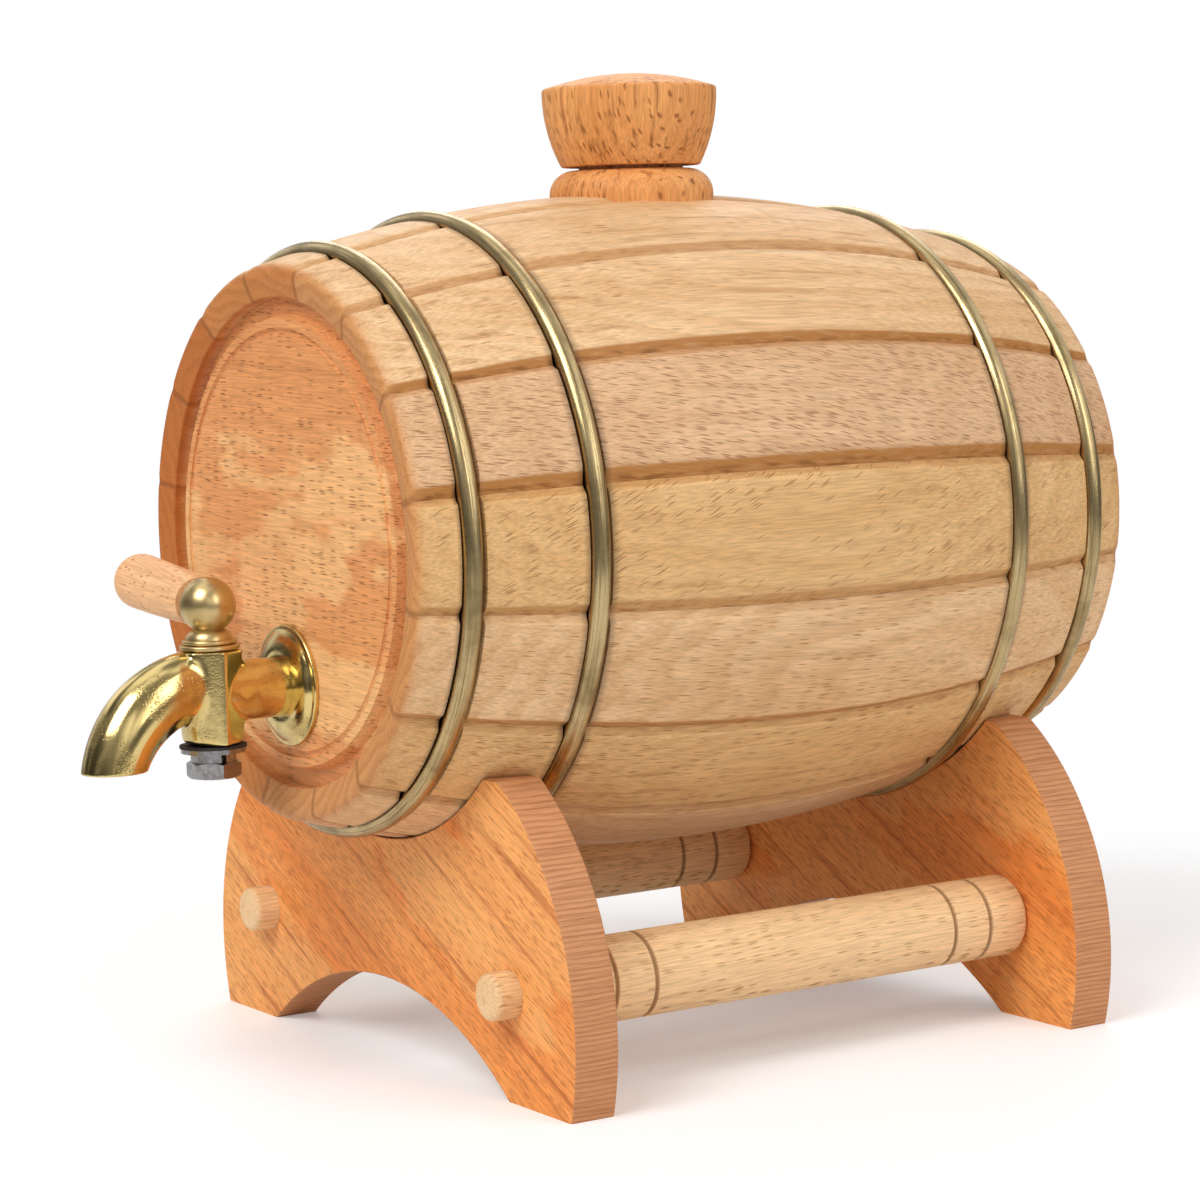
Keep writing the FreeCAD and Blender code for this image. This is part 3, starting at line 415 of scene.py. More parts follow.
def stave_stains(end_grain_and_shade, before, after):
    """Joint walls with stain and painted shade, painted shade in the hoop grooves, and end grain with
    its ring arcs at the chimes, darker with painted shade on some staves.

    before and after are the strengths of the stain and painted shade on the walls towards the
    neighbouring staves.
    """
    def stain(tree, colour, board, ring):
        ragged = tree.noise(board, (170, 900, 900), 4)
        walls = [tree.value_of(side) for side in ("before", "after")]
        for wall, strength in zip(walls, (before, after)):
            # Brown joint walls: partly stain, partly painted shade, in a strength per joint that follows
            # how shaded each joint looks; darker still at the bottom of each V, which is painted shade.
            worn_and_shaded = tree.step(ragged, 0.25, 0.5, 0.7 * strength, strength)
            torn_and_shaded = tree.step(ragged, 0.47, 0.66, 0.0, 0.75 * strength)
            colour = tree.mix(tree.times(tree.step(wall, 0.03, 0.3), worn_and_shaded), colour, shade(178, 120, 60))
            colour = tree.mix(tree.times(tree.step(wall, 0.45, 0.95), torn_and_shaded), colour, shade(128, 78, 34))
        chime = tree.step(tree.value_of("chime"), 0.1, 1.0)
        colour = tree.mix(chime, colour, end_grain_and_shade)
        seam = tree.step(tree.math("MAXIMUM", *walls), 0.3, 0.6, 0.0, 0.45)
        pores = tree.step(tree.noise(board, (700, 1900, 1900)), 0.5, 0.72, 0.0, 0.4)
        marks = ((tree.times(ring, 0.55), (158, 88, 38)), (seam, (124, 68, 26)), (pores, (140, 80, 36)))
        for mark, tone in marks:
            colour = tree.mix(tree.times(chime, mark), colour, shade(*tone))
        # Painted shade: the hoop grooves near black, a dark line beside each hoop.
        return tree.mix(tree.value_of("hoop_gap_shade"), colour, shade(42, 22, 10))
    return stain


def brass(name, colour, dark, roughness, scale, pits=0.0, patina=0.35, drawn=0.0):
    """Brass with a thin uneven patina, and casting pits or the lengthwise lines of drawn wire."""
    tree = Tree(name)
    place = tree.position()
    cloud = tree.noise(place, (scale,) * 3, 4, 0.6)
    colour = tree.mix(tree.step(cloud, 0.42, 0.75, 0.0, patina), colour, dark)
    rough = tree.step(cloud, 0.3, 0.8, *roughness)
    if pits:
        hollow = tree.step(tree.cells(place, (1500,) * 3).outputs["Distance"], 0.1, 0.45, 1.0, 0.0)
        hollow = tree.times(hollow, tree.step(tree.noise(place, (110,) * 3), 0.42, 0.62))
        colour = tree.mix(tree.times(hollow, 0.6), colour, dark)
        relief = tree.math("SUBTRACT", tree.times(tree.noise(place, (700,) * 3, 3), 0.5), hollow)
        tree.dress(Normal=tree.bump(relief, pits, 0.6))
    if drawn:
        way, around = tree.times(tree.value_of("way"), 38.0), tree.times(tree.value_of("round"), 5.0)
        lines = tree.noise(tree.vector(X=way, Y=around), None, 4, 0.6)
        colour = tree.mix(tree.step(lines, 0.45, 0.68, 0.0, 0.6), colour, dark)
        rough = tree.math("ADD", rough, tree.step(lines, 0.4, 0.7, 0.0, 0.12))
        tree.dress(Normal=tree.bump(lines, drawn, 0.8))
    return tree.dress(Base_Color=colour, Metallic=1.0, Roughness=rough)


def plain(name, colour, roughness, metallic, grain):
    """Plated steel or rubber with a fine even grain."""
    tree = Tree(name)
    fine = tree.noise(tree.position(), (900,) * 3, 3)
    darker = tuple(channel * 0.55 for channel in colour[:3]) + (1.0,)
    return tree.dress(Base_Color=tree.mix(tree.step(fine, 0.45, 0.75, 0, 0.35), colour, darker),
                      Roughness=tree.step(fine, 0.3, 0.7, roughness, roughness + 0.15),
                      Metallic=metallic, Normal=tree.bump(fine, grain, 0.5))


# Staves.


def stave_loop():
    """Lengthwise loop (along, radius) of a stave, and how each point takes the joint, the painted shade
    of the hoop grooves and the chime.
    """
    fine = np.linspace(-1, 1, 15) * (HOOP_WIRE / 2 + HOOP_SLACK)
    along = [np.linspace(-HALF_LENGTH + 5 * MM, HALF_LENGTH - 5 * MM, 90)]
    along += [offset + fine for offset in HOOP_OFFSETS]
    along = np.unique(np.round(np.concatenate(along), 6))
    outer = bilge(along)
    hoop_gap_shade = np.zeros_like(along)
    for offset in HOOP_OFFSETS:
        ring = bilge(offset) - HOOP_SINK
        wide = HOOP_WIRE / 2 + HOOP_SLACK
        inside = np.abs(along - offset) < wide
        sag = np.sqrt(np.clip(wide ** 2 - (along - offset) ** 2, 0, None))
        outer = np.where(inside, np.minimum(outer, ring - sag), outer)
        # Painted shade: the hoop grooves darkened to near black, seen as a dark line beside each wire.
        hoop_gap_shade = np.maximum(hoop_gap_shade, np.clip((wide + 0.15 * MM - np.abs(along - offset)) / (0.3 * MM), 0, 1))
    lip_along = HALF_LENGTH - CHIME_BEVEL
    lip = math.sqrt((BILGE_ARC - STAVE_THICKNESS) ** 2 - lip_along ** 2) - ARC_DEPTH
    end = rounded([(along[-1], outer[-1], 0), (HALF_LENGTH, CHIME_RADIUS, CHIME_ROUNDING),
                   (lip_along, lip, 0.6 * MM), (CROZE_OUT, lip - 0.3 * MM, 0)])[1:-1]
    inner_along = np.linspace(CROZE_IN, -CROZE_IN, 24)
    inner = np.sqrt((BILGE_ARC - STAVE_THICKNESS) ** 2 - inner_along ** 2) - ARC_DEPTH
    croze = np.array([(CROZE_OUT, lip), (CROZE_OUT, lip + CROZE_DEPTH), (CROZE_IN, lip + CROZE_DEPTH)])
    near = end * (-1, 1)
    loop = np.concatenate([np.stack([along, outer], axis=1), end, croze,
                           np.stack([inner_along, inner], axis=1), croze[::-1] * (-1, 1), near[::-1]])
    counts = (len(along), len(end), len(croze), len(inner_along), len(croze), len(near))
    kind = np.repeat(np.arange(6), counts)
    chime = np.zeros(len(loop))
    is_end = (kind == 1) | (kind == 5)
    drop = bilge(HALF_LENGTH - 5 * MM) - loop[:, 1]
    chime[is_end] = np.clip(drop[is_end] / (2.2 * MM), 0, 1)
    hoop_gap_shades = np.zeros(len(loop))
    hoop_gap_shades[: len(along)] = hoop_gap_shade
    joint_share = np.where(kind == 0, 1.0, np.where(is_end, 1 - 0.75 * chime, 0.0))
    return loop, joint_share, hoop_gap_shades, chime


def stave_mesh(number, loop, joint_share, hoop_gap_shades, chime):
    """A stave: its loop carried round its share of the turn, lowered near both edges to half a V joint.

    The V's wall falls in a straight line from the face to the edge, softened at its brink, and its
    width wanders a little along the stave.
    """
    rng = np.random.default_rng(number)
    half = FULL_TURN / STAVES / 2
    seam = 0.02 * MM
    insets = np.array([0, 0.5, 1.1, 1.7, 2.1, 2.35, 2.6, 2.8, 3.0, 3.3, 3.6, 4.0, 4.8]) * MM
    inward = half - (insets + seam) / BELLY_RADIUS
    middle = np.linspace(-inward[-1], inward[-1], 10)[1:-1]
    turn = np.concatenate([-inward, middle, inward[::-1]])
    along = loop[:, :1]
    phases = rng.uniform(0, FULL_TURN, (2, 5))
    waves = np.array([21.0, 47.0, 113.0, 310.0, 640.0])
    sizes = np.array([0.07, 0.06, 0.04, 0.03, 0.025])
    wander = [(sizes * np.sin(along * waves + phase)).sum(axis=1, keepdims=True) for phase in phases]
    edge = half - np.abs(turn)
    uneven = 1.45 if number == 4 else rng.uniform(0.95, 1.25)
    width = JOINT_WIDTH * np.where(turn < 0, 0.85 + wander[0], uneven + wander[1])
    reach = 1 - edge * BELLY_RADIUS / width
    soft = 0.06
    wall = soft * np.logaddexp(0, reach / soft)
    wall = wall / (soft * np.logaddexp(0, 1 / soft))
    fall = JOINT_DEPTH * wall * joint_share[:, None]
    bottom = bilge(along) - JOINT_DEPTH * wall
    radius = np.where(joint_share[:, None] == 1, np.minimum(loop[:, 1:], bottom), loop[:, 1:] - fall)
    middle_turn = FULL_TURN / STAVES * (number - 1)
    angle = turn[None, :] + middle_turn
    grid = np.stack([radius * np.sin(angle), along + 0 * angle, radius * np.cos(angle)], axis=-1)
    grid = grid + np.array(CASK_CENTRE)
    rows, columns = grid.shape[:2]
    faces = grid_faces(rows, columns, ring_rows=True)
    index = numbered(rows, columns)
    faces += [index[:, 0].tolist(), index[::-1, -1].tolist()]
    joint = np.clip(wall * 1.3 - 0.08, 0, 1) * (joint_share[:, None] > 0) * (1 - 0.4 * chime[:, None])
    values = {"before": joint * (turn < 0) + 0 * radius, "after": joint * (turn > 0) + 0 * radius,
              "hoop_gap_shade": hoop_gap_shades[:, None] + 0 * radius, "chime": chime[:, None] + 0 * radius}
    return smooth_mesh(grid, faces, values, sharp=50)


def make_staves():
    """Sixteen staves, each of its own board. Those with a wide fleck share are sawn along the rings."""
    tones = {
        "pale": ((233, 194, 148), (206, 156, 102), (166, 114, 64), (238, 200, 158)),
        "pink": ((222, 180, 138), (202, 154, 110), (146, 92, 54), (232, 192, 156)),
        "honey": ((226, 183, 127), (202, 152, 94), (148, 94, 44), (230, 188, 134)),
    }
    staves = [
        # tone, slope of the grain, slant of the flecks, flecks at the least and the most, streaks,
        # stain and painted shade of the next joint
        ("pale", 0.02, 0, 0.1, 0.3, 0.45, 0.4), ("pale", 0.03, 0, 0.1, 0.3, 0.6, 0.55),
        ("pale", 0.05, 0, 0.1, 0.35, 0.5, 1.0), ("pink", 0.05, 0.18, 0.72, 0.92, 0.15, 1.0),
        ("honey", -0.02, -0.45, 0.1, 0.65, 0.2, 0.6), ("pale", 0.04, 0, 0.2, 0.5, 0.3, 0.8),
        ("honey", -0.03, 0, 0.3, 0.6, 0.35, 0.9), ("pale", 0.03, 0, 0.2, 0.5, 0.35, 0.8),
        ("pink", -0.08, 0.1, 0.3, 0.6, 0.3, 0.7), ("honey", 0.04, 0, 0.15, 0.45, 0.4, 0.9),
        ("pale", -0.02, 0, 0.3, 0.7, 0.2, 0.85), ("pink", 0.1, -0.2, 0.5, 0.8, 0.25, 0.8),
        ("honey", -0.05, 0, 0.2, 0.5, 0.4, 0.9), ("pale", 0.06, 0, 0.15, 0.45, 0.45, 0.85),
        ("pink", 0.02, 0.15, 0.4, 0.7, 0.3, 0.7), ("pale", -0.04, 0, 0.15, 0.4, 0.45, 0.6),
    ]
    loop = stave_loop()
    rng = np.random.default_rng(7)
    for index, (tone, slope, slant, least, most, streaks, after) in enumerate(staves):
        number = index + 1
        around = FULL_TURN / STAVES * index
        outward = (math.sin(around), 0, math.cos(around))
        sawn = rng.uniform(-1.2, 1.2)
        pith = (0.09 * math.sin(sawn), -0.09 * math.cos(sawn))
        grain = Vector((0, 1, 0)) + slope * Vector((math.cos(around), 0, -math.sin(around)))
        # The darker end grain of staves 10 to 16, on the -X side, is partly the wood's own tint and
        # partly painted shade; stave 1's is its own tint.
        end_grain_and_shade = shade(194, 114, 52) if 10 < number < 16 else shade(211, 148, 90)
        end_grain_and_shade = shade(204, 132, 70) if number in (1, 10, 16) else end_grain_and_shade
        material = wood(f"beech_stave_{number:02d}", CASK_CENTRE, grain, outward, tones[tone],
                        seed=number, pith=pith, runout=rng.uniform(-0.12, 0.12),
                        rings=rng.uniform(0.6, 0.85), ring_count=340, streaks=streaks,
                        flecks=(least, most), slant=slant,
                        stained=stave_stains(end_grain_and_shade, 0.45 * staves[index - 1][-1], after))
        mesh = stave_mesh(number, *loop)
        if number == 1:
            seat = collar_high.z - AXIS_Z + BUNG_GAP
            tip = seat - BUNG_DEPTH
            hole = [(tip, 0), (tip, 11.1 * MM), (seat, BUNG_HOLE), (seat, 0)]
            mesh = cut_out(mesh, [turned_mesh(hole, "Z", CASK_CENTRE, 96)])
        add_piece(f"stave_{number:02d}_beech", mesh, "cask", material,
                  [f"stave_{number:02d}"])


# Hoops.


def hoop_mesh(offset, seed):
    """A ring of round wire: a circle carried round a circle, both a little out of true."""
    rng = np.random.default_rng(seed)
    way = np.arange(320)[:, None] * FULL_TURN / 320
    around = np.arange(28)[None, :] * FULL_TURN / 28
    ring = bilge(offset) - HOOP_SINK + 0.06 * MM * np.sin(2 * way + rng.uniform(0, 6))
    wire = HOOP_WIRE / 2 * (1 - 0.012 * (1 + np.sin(5 * way + rng.uniform(0, 6))))
    sway = 0.12 * MM * np.sin(3 * way + rng.uniform(0, 6))
    reach = ring + wire * np.cos(around)
    grid = np.stack([reach * np.sin(way), sway + wire * np.sin(around) + 0 * reach,
                     reach * np.cos(way)], axis=-1)
    grid = grid + np.array(CASK_CENTRE) + (0, offset, 0)
    values = {"way": way * ring + 0 * around + seed, "round": around + 0 * way}
    return grid_mesh(grid, True, values)


def make_hoops():
    """Four drawn brass hoops."""
    material = brass("aged_hoop_brass", shade(202, 178, 130), shade(88, 68, 36), (0.2, 0.34), 60,
                     patina=0.65, drawn=0.06 * MM)
    for number, (name, offset) in enumerate(zip(HOOP_NAMES, HOOP_OFFSETS)):
        add_piece(name + "_wire", hoop_mesh(offset, number + 1), "cask", material, [name])


# Bung, collar, spreaders.


def make_bung():
    """Stopper of turned beech with its grain upright, and the collar under it."""
    tones = ((240, 172, 104), (202, 124, 58), (138, 72, 24), (246, 188, 126))
    upright = dict(along=(0.05, 0, 1), depth=(0.86, -0.5, 0), tones=tones, pith=(-0.05, 0.02),
                   flecks=(0.2, 0.6), fleck_size=(250, 1700, 400), streaks=0.8, rings=0.6, slant=-0.12)
    seat = collar_high.z - AXIS_Z + BUNG_GAP
    tip = seat - BUNG_DEPTH
    rim = seat + 19 * MM
    narrow, wide = 17.1 * MM, 21.5 * MM
    side = bow((seat, narrow), (rim, wide), 1.2 * MM)[1:-1]
    lower = rounded([(tip, 0, 0), (tip, 10.9 * MM, 0.6 * MM), (seat, 12.9 * MM, 0),
                     (seat, narrow, 0.7 * MM), (*side[2], 0)])[:-1]
    crown = np.linspace(1, 0, 20)[:, None] * np.array([[0, 20.6 * MM]])
    crown[:, 0] = rim + 3.6 * MM * (1 - (crown[:, 1] / wide) ** 2)
    top = rounded([(*side[-3], 0), (rim + 0.1 * MM, wide, 0.9 * MM), (*crown[2], 0)])
    profile = np.concatenate([lower, side[2:-3], top[:-1], crown[2:]])
    material = wood("beech_bung", CASK_CENTRE, seed=31, **upright)
    mesh = turned_mesh(profile, "Z", CASK_CENTRE, 144, sharp=50)
    add_piece("bung_turned", mesh, "bung", material, ["bung"])
    make_collar(seat - BUNG_GAP, wood("beech_collar", CASK_CENTRE, seed=37, **upright))


def make_collar(top, material):
    """Ring with a quarter-round shoulder. Its underside follows the cask: z = sqrt(bilge(y)^2 - x^2)."""
    outer, shoulder, hole = 20.2 * MM, 6 * MM, BUNG_HOLE
    turn = np.linspace(0, math.pi / 2, 14)
    arc = np.stack([top - shoulder + shoulder * np.sin(turn),
                    outer - shoulder + shoulder * np.cos(turn)], axis=1)
    over = np.concatenate([arc, rounded([(top, outer - shoulder - 0.5 * MM, 0), (top, hole, 0.5 * MM),
                                         (top - 3 * MM, hole, 0)])])
    under = np.stack([np.zeros(16), np.linspace(hole, outer, 16)], axis=1)
    profile = np.concatenate([over, under])
    grid = turned(profile, "Z", (0, 0, 0), 160)
    x, y = grid[..., 0], grid[..., 1]
    skin = np.sqrt(np.clip(bilge(y) ** 2 - x ** 2, 0, None))
    is_under = np.arange(len(profile)) >= len(over)
    seated = skin - JOINT_DEPTH
    lifted = np.where(is_under[:, None], seated, np.maximum(grid[..., 2], seated))
    grid = np.stack([x, y, lifted], axis=-1) + np.array(CASK_CENTRE)
    mesh = grid_mesh(grid, True, sharp=50)
    add_piece("bung_collar_turned", mesh, "cask", material, ["bung_collar"])


def ring_stains(centre_along, places):
    """Narrow burnt lines turned round a rod at given places along it."""
    def stain(tree, colour, board, ring):
        here = tree.part(tree.position(), 1)
        for place in places:
            gap = tree.math("ABSOLUTE", tree.math("SUBTRACT", here, centre_along + place))
            colour = tree.mix(tree.step(gap, 0.3 * MM, 0.8 * MM, 0.7, 0.0), colour, shade(128, 82, 40))
        return colour
    return stain


def make_spreaders():
    """Two turned rods with rounded shoulders, V ring grooves and tenons through the plates."""
    rod, tenon, groove = 10 * MM, 5.5 * MM, 0.7 * MM
    end = 83.5 * MM
    rings = np.array([-54.6, -43.7, 43.7, 54.6]) * MM
    half = [(0, rod, 0)]
    for place in rings[2:]:
        half += [(place - groove, rod, 0.25 * MM), (place, rod - groove, 0.15 * MM),
                 (place + groove, rod, 0.25 * MM)]
    tip = [(end, tenon, 1.6 * MM), (end, 0, 0)]
    ends = [rounded(half + [(shoulder, rod, 2.0 * MM), (shoulder, tenon, 0)] + tip)
            for shoulder in (65.7 * MM, 66.7 * MM)]
    profile = np.concatenate([(ends[0] * (-1, 1))[::-1], ends[1][1:]])
    tones = ((247, 210, 162), (230, 182, 126), (178, 126, 74), (250, 218, 174))
    for seed, name in enumerate(("spreader_left", "spreader_right")):
        low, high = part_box(name)
        centre = (low + high) / 2
        material = wood("beech_" + name, centre, (0, 1, 0.02), (0.8, 0, 0.6), tones, seed=41 + seed,
                        pith=(-0.03, 0.05), flecks=(0.3, 0.7), rings=0.4,
                        stained=ring_stains(centre.y, rings.tolist()))
        mesh = turned_mesh(profile, "Y", centre, 112)
        add_piece(name + "_rod", mesh, "cradle", material, [name])


# Tap.


def block_shell():
    """Six-sided block bored for the plug.

    Its section is a p-norm of three pairs of flats, whose high power leaves the corners soft.
    """
    flats, power = 6.7 * MM, 22
    top, bottom = BLOCK_TOP, BLOCK_BOTTOM
    turn = np.arange(180) * FULL_TURN / 180
    normals = np.radians([30, 90, 150])
    shape = (np.abs(np.cos(turn[:, None] - normals)) ** power).sum(axis=1) ** (-1 / power)
    bores = {top: 5.15 * MM, bottom: 4.55 * MM}
    loop = rounded([(0, 1, 0), (top, 1, 0.5 * MM), (top, bores[top] / flats, 0),
                    (bottom, bores[bottom] / flats, 0), (bottom, 1, 0.5 * MM), (0, 1, 0)])[:-1]
    reach = loop[:, 1:] * flats * np.where(loop[:, 1:] > 0.8, shape, 1.0)
    grid = np.stack([reach * np.cos(turn), reach * np.sin(turn), loop[:, :1] + 0 * turn], axis=-1)
    return grid, grid_faces(*grid.shape[:2], True, True)


def spout_shell():
    """Tube bent down along an arc and cut level at its mouth.

    At each place round its section the arc's angle runs from the root to the one whose height is
    the mouth's: the arccosine of that height over the distance from the bend's centre.
    """
    bend, centre_height, mouth = 26.4 * MM, (2.5 - 26.4) * MM, -16 * MM
    outer, bore, root_angle = 7.3 * MM, 5.2 * MM, 0.12
    turn = np.arange(64)[None, :] * FULL_TURN / 64
    share = np.linspace(0, 1, 60)[:, None]
    tall = 1 + 0.14 * (1 - share) ** 2 + 0.08 * np.sin(math.pi * share)
    wide = 1 - 0.24 * (1 - share) ** 2 + 0.06 * np.sin(math.pi * share)

    def wall(radius, share, tall=1.0, wide=1.0):
        reach = bend + 0.6 * MM * np.sin(math.pi * share) + radius * tall * np.cos(turn)
        last = np.arccos((mouth - centre_height) / (bend + radius * np.cos(turn)))
        angle = root_angle + (last - root_angle) * share
        return np.stack([radius * wide * np.sin(turn) + 0 * angle, -reach * np.sin(angle),
                         centre_height + reach * np.cos(angle)], axis=-1)

    outside = wall(outer, share, tall, wide)
    inside = wall(bore, share[20:])[::-1]
    first = outside[:1].mean(axis=1, keepdims=True) + 0 * outside[:1]
    last = inside[-1:].mean(axis=1, keepdims=True) + 0 * inside[-1:]
    grid = np.concatenate([first, outside, inside, last])
    return grid, grid_faces(*grid.shape[:2], ring_columns=True)


def tube_shell():
    """Inlet tube to the head and its shank through the head.

    Its near end is hollowed to clear the plug: there the distance along is the square root of the
    clear radius squared less the sideways place squared.
    """
    tail, clear, outer, shank, rows = 37.7 * MM, 5.6 * MM, 7 * MM, 6 * MM, 10
    near = np.stack([np.full(rows, 0.3 * MM), np.linspace(0, outer, rows)], axis=1)
    rest = rounded([(6.5 * MM, outer, 0), (TAP_FACE, outer, 0), (TAP_FACE, shank, 0),
                    (tail, shank, 0.5 * MM), (tail, 0, 0)])
    grid = turned(np.concatenate([near, rest]), "Y", (0, 0, 0), 96)
    hollow = np.sqrt(np.clip(clear ** 2 - grid[:rows, :, 0] ** 2, 0, None))
    grid[:rows, :, 1] = np.maximum(grid[:rows, :, 1], hollow)
    return grid, grid_faces(*grid.shape[:2], ring_columns=True)


def melt_crease(mesh, rounds=140):
    """Melt the creases where spout and tube leave the block into fillets.

    In each round a point moves part of the way to the mean of its neighbours. The part falls off as
    a bell curve of the distance from the block's front and rear faces, and fades towards its top.
    """
    count = len(mesh.vertices)
    points = np.empty(count * 3)
    mesh.vertices.foreach_get("co", points)
    points = points.reshape(-1, 3)
    edges = np.empty(len(mesh.edges) * 2, int)
    mesh.edges.foreach_get("vertices", edges)
    first, second = edges.reshape(-1, 2).T
    ends, others = np.concatenate([first, second]), np.concatenate([second, first])
    neighbours = np.bincount(ends, minlength=count)[:, None]
    place = (points - np.array(TAP_CENTRE)) / MM
    bell = np.exp(-((place[:, 1] + 6.8) / 2.6) ** 2) + np.exp(-((place[:, 1] - 7.0) / 1.5) ** 2)
    part = 0.5 * bell * np.clip((9.2 - place[:, 2]) / 1.5, 0, 1)
    for _ in range(rounds):
        mean = np.stack([np.bincount(ends, points[others, axis], count) for axis in range(3)], axis=1)
        points = points + part[:, None] * (mean / neighbours - points)
    mesh.vertices.foreach_set("co", points.ravel())
    mesh.update()


def make_tap_body(material):
    """Casting: block, spout and tube merged into one skin and softened where they meet."""
    points, faces = [], []
    for grid, quads in (block_shell(), spout_shell(), tube_shell()):
        start = sum(len(part) for part in points)
        points.append(grid.reshape(-1, 3) + np.array(TAP_CENTRE))
        faces += [[start + corner for corner in quad] for quad in quads]
    shells = link("tap_body_shells", smooth_mesh(np.concatenate(points), faces))
    skin = shells.modifiers.new("skin", "REMESH")
    skin.mode = "VOXEL"
    skin.voxel_size = 0.27 * MM
    soften = shells.modifiers.new("soften", "SMOOTH")
    soften.factor = 0.5
    soften.iterations = 4
    cast = evaluated(shells)
    melt_crease(cast)
    cast.polygons.foreach_set("use_smooth", np.ones(len(cast.polygons), bool))
    cast.materials.clear()
    add_piece("tap_body_cast", cast, "cask", material, ["tap_body"])


def make_rosette(material):
    """Dished disc against the head."""
    face, near = TAP_FACE, TAP_FACE - 3.2 * MM
    dish = bow((near, 7.6 * MM), (face - 1.3 * MM, 13.2 * MM), 0.7 * MM)
    rim = rounded([(*dish[-2], 0), (face - 1.3 * MM, 13.3 * MM, 0.1 * MM),
                   (face - 1.2 * MM, 14.2 * MM, 0.5 * MM), (face, 14.3 * MM, 0.3 * MM),
                   (face, 13 * MM, 0)])
    profile = np.concatenate([[(face, 7.05 * MM), (near, 7.05 * MM)], dish[:-2], rim])
    mesh = turned_mesh(profile, "Y", TAP_CENTRE, 128, ring=True)
    add_piece("tap_rosette_disc", mesh, "cask", material, ["tap_rosette"])


def make_plug(material):
    """Turning cock. Its screw is a helix: the radius falls by a triangle wave of height and turn."""
    screw_end, screw_top, screw_radius = -19.9 * MM, BLOCK_BOTTOM - 0.1 * MM, 3.175 * MM
    ball, neck, bead = 6.5 * MM, 3.6 * MM, 1.2 * MM
    height = np.linspace(screw_end, screw_top, 110)
    base = BLOCK_TOP + 0.2 * MM
    turn = np.linspace(-math.pi / 2, math.pi / 2, 9)
    beads = [np.stack([base + bead * (0.5 + count) + bead / 2 * np.sin(turn),
                       root + bead / 2 * np.cos(turn)], axis=1)
             for count, root in enumerate((6.4 * MM, 5.7 * MM))]
    foot = BALL_RISE - math.sqrt(ball ** 2 - neck ** 2)
    around = np.linspace(math.asin(neck / ball), math.pi, 48)
    globe = np.stack([BALL_RISE - ball * np.cos(around), ball * np.sin(around)], axis=1)
    cone = bow((base + 2 * bead, 5.5 * MM), (BLOCK_TOP + 4.9 * MM, neck), 0.4 * MM, 14)
    lower = np.array([(screw_end - 0.05 * MM, 0), (screw_end - 0.05 * MM, 2.6 * MM)])
    screw = np.stack([height, np.full(len(height), screw_radius)], axis=1)
    taper = [(BLOCK_BOTTOM, 3.1 * MM), (BLOCK_BOTTOM, 4.4 * MM), (BLOCK_TOP, 5.0 * MM), (base, 5.0 * MM)]
    profile = np.concatenate([lower, screw, taper, *beads, cone, [(foot - 0.15 * MM, neck)], globe])
    grid = turned(profile, "Z", (0, 0, 0), 96)
    rows = slice(len(lower), len(lower) + len(screw))
    pitch, depth = 1.27 * MM, 0.6 * MM
    phase = (grid[rows, :, 2] / pitch + np.arctan2(grid[rows, :, 1], grid[rows, :, 0]) / FULL_TURN) % 1
    tip = np.clip((grid[rows, :, 2] - screw_end) / (1.2 * MM), 0, 1)
    fall = depth * np.abs(2 * phase - 1) + 0.6 * MM * (1 - tip)
    grid[rows, :, :2] *= (1 - fall / screw_radius)[..., None]
    grid = grid + np.array(TAP_CENTRE)
    mesh = grid_mesh(grid, sharp=40)
    add_piece("tap_plug_turned", mesh, "valve", material, ["tap_plug"])


def make_handle():
    """Dowel with a domed end, set in the ball and tilted up."""
    tilt = math.radians(5.4)
    reach, radius, hole = 41 * MM, 6.6 * MM, 5.7 * MM
    dome = np.linspace(0, math.pi / 2, 14)
    end = np.stack([reach - 6 * MM + 6 * MM * np.sin(dome), radius * np.cos(dome)], axis=1)
    body = bow((hole, 5.7 * MM), (reach - 6 * MM, radius), 0.2 * MM)
    root = [(1.2 * MM, 0), (1.2 * MM, 3.2 * MM), (hole, 3.2 * MM), (hole, 5.5 * MM)]
    profile = np.concatenate([root, body[1:], end[1:]])
    grid = turned(profile, "X", (0, 0, 0), 96)
    centre = TAP_CENTRE + Vector((0, 0, BALL_RISE))
    way = Matrix.Rotation(math.pi + tilt, 3, "Y")
    grid = grid @ np.array(way).T + np.array(centre)
    mesh = grid_mesh(grid, sharp=50)
    tones = ((247, 197, 148), (228, 164, 108), (176, 112, 62), (250, 206, 160))
    material = wood("beech_handle", centre, way @ Vector((1, 0, 0)), (0, -1, 0), tones, seed=53,
                    pith=(-0.03, 0.02), flecks=(0.3, 0.7), fleck_size=(420, 1700, 700))
    add_piece("tap_handle_dowel", mesh, "valve", material, ["tap_handle"])


def make_tap():
    """Cast and turned brass, plated hardware and a beech handle."""
    cast = brass("tap_cast_brass", shade(226, 200, 134), shade(122, 100, 44), (0.13, 0.24), 110,
                 pits=0.05 * MM, patina=0.5)
    spun = brass("tap_turned_brass", shade(212, 186, 132), shade(146, 120, 68), (0.3, 0.42), 120,
                 patina=0.45)
    make_tap_body(cast)
    make_rosette(cast)
    make_plug(spun)
    make_handle()
    steel = plain("zinc_plate", shade(160, 156, 156), 0.12, 1.0, 0.01 * MM)
    dress_nodes(("tap_flat_washer", "tap_spring_washer", "tap_nut"), steel)
    dress_nodes(("tap_gasket",), plain("black_gasket", shade(34, 30, 28), 0.6, 0.0, 0.05 * MM))


# Heads keep their CAD shapes.


def dress_nodes(names, material):
    """Give CAD nodes a finish."""
    for name in names:
        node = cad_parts[name]
        node.data.materials.clear()
        node.data.materials.append(material)


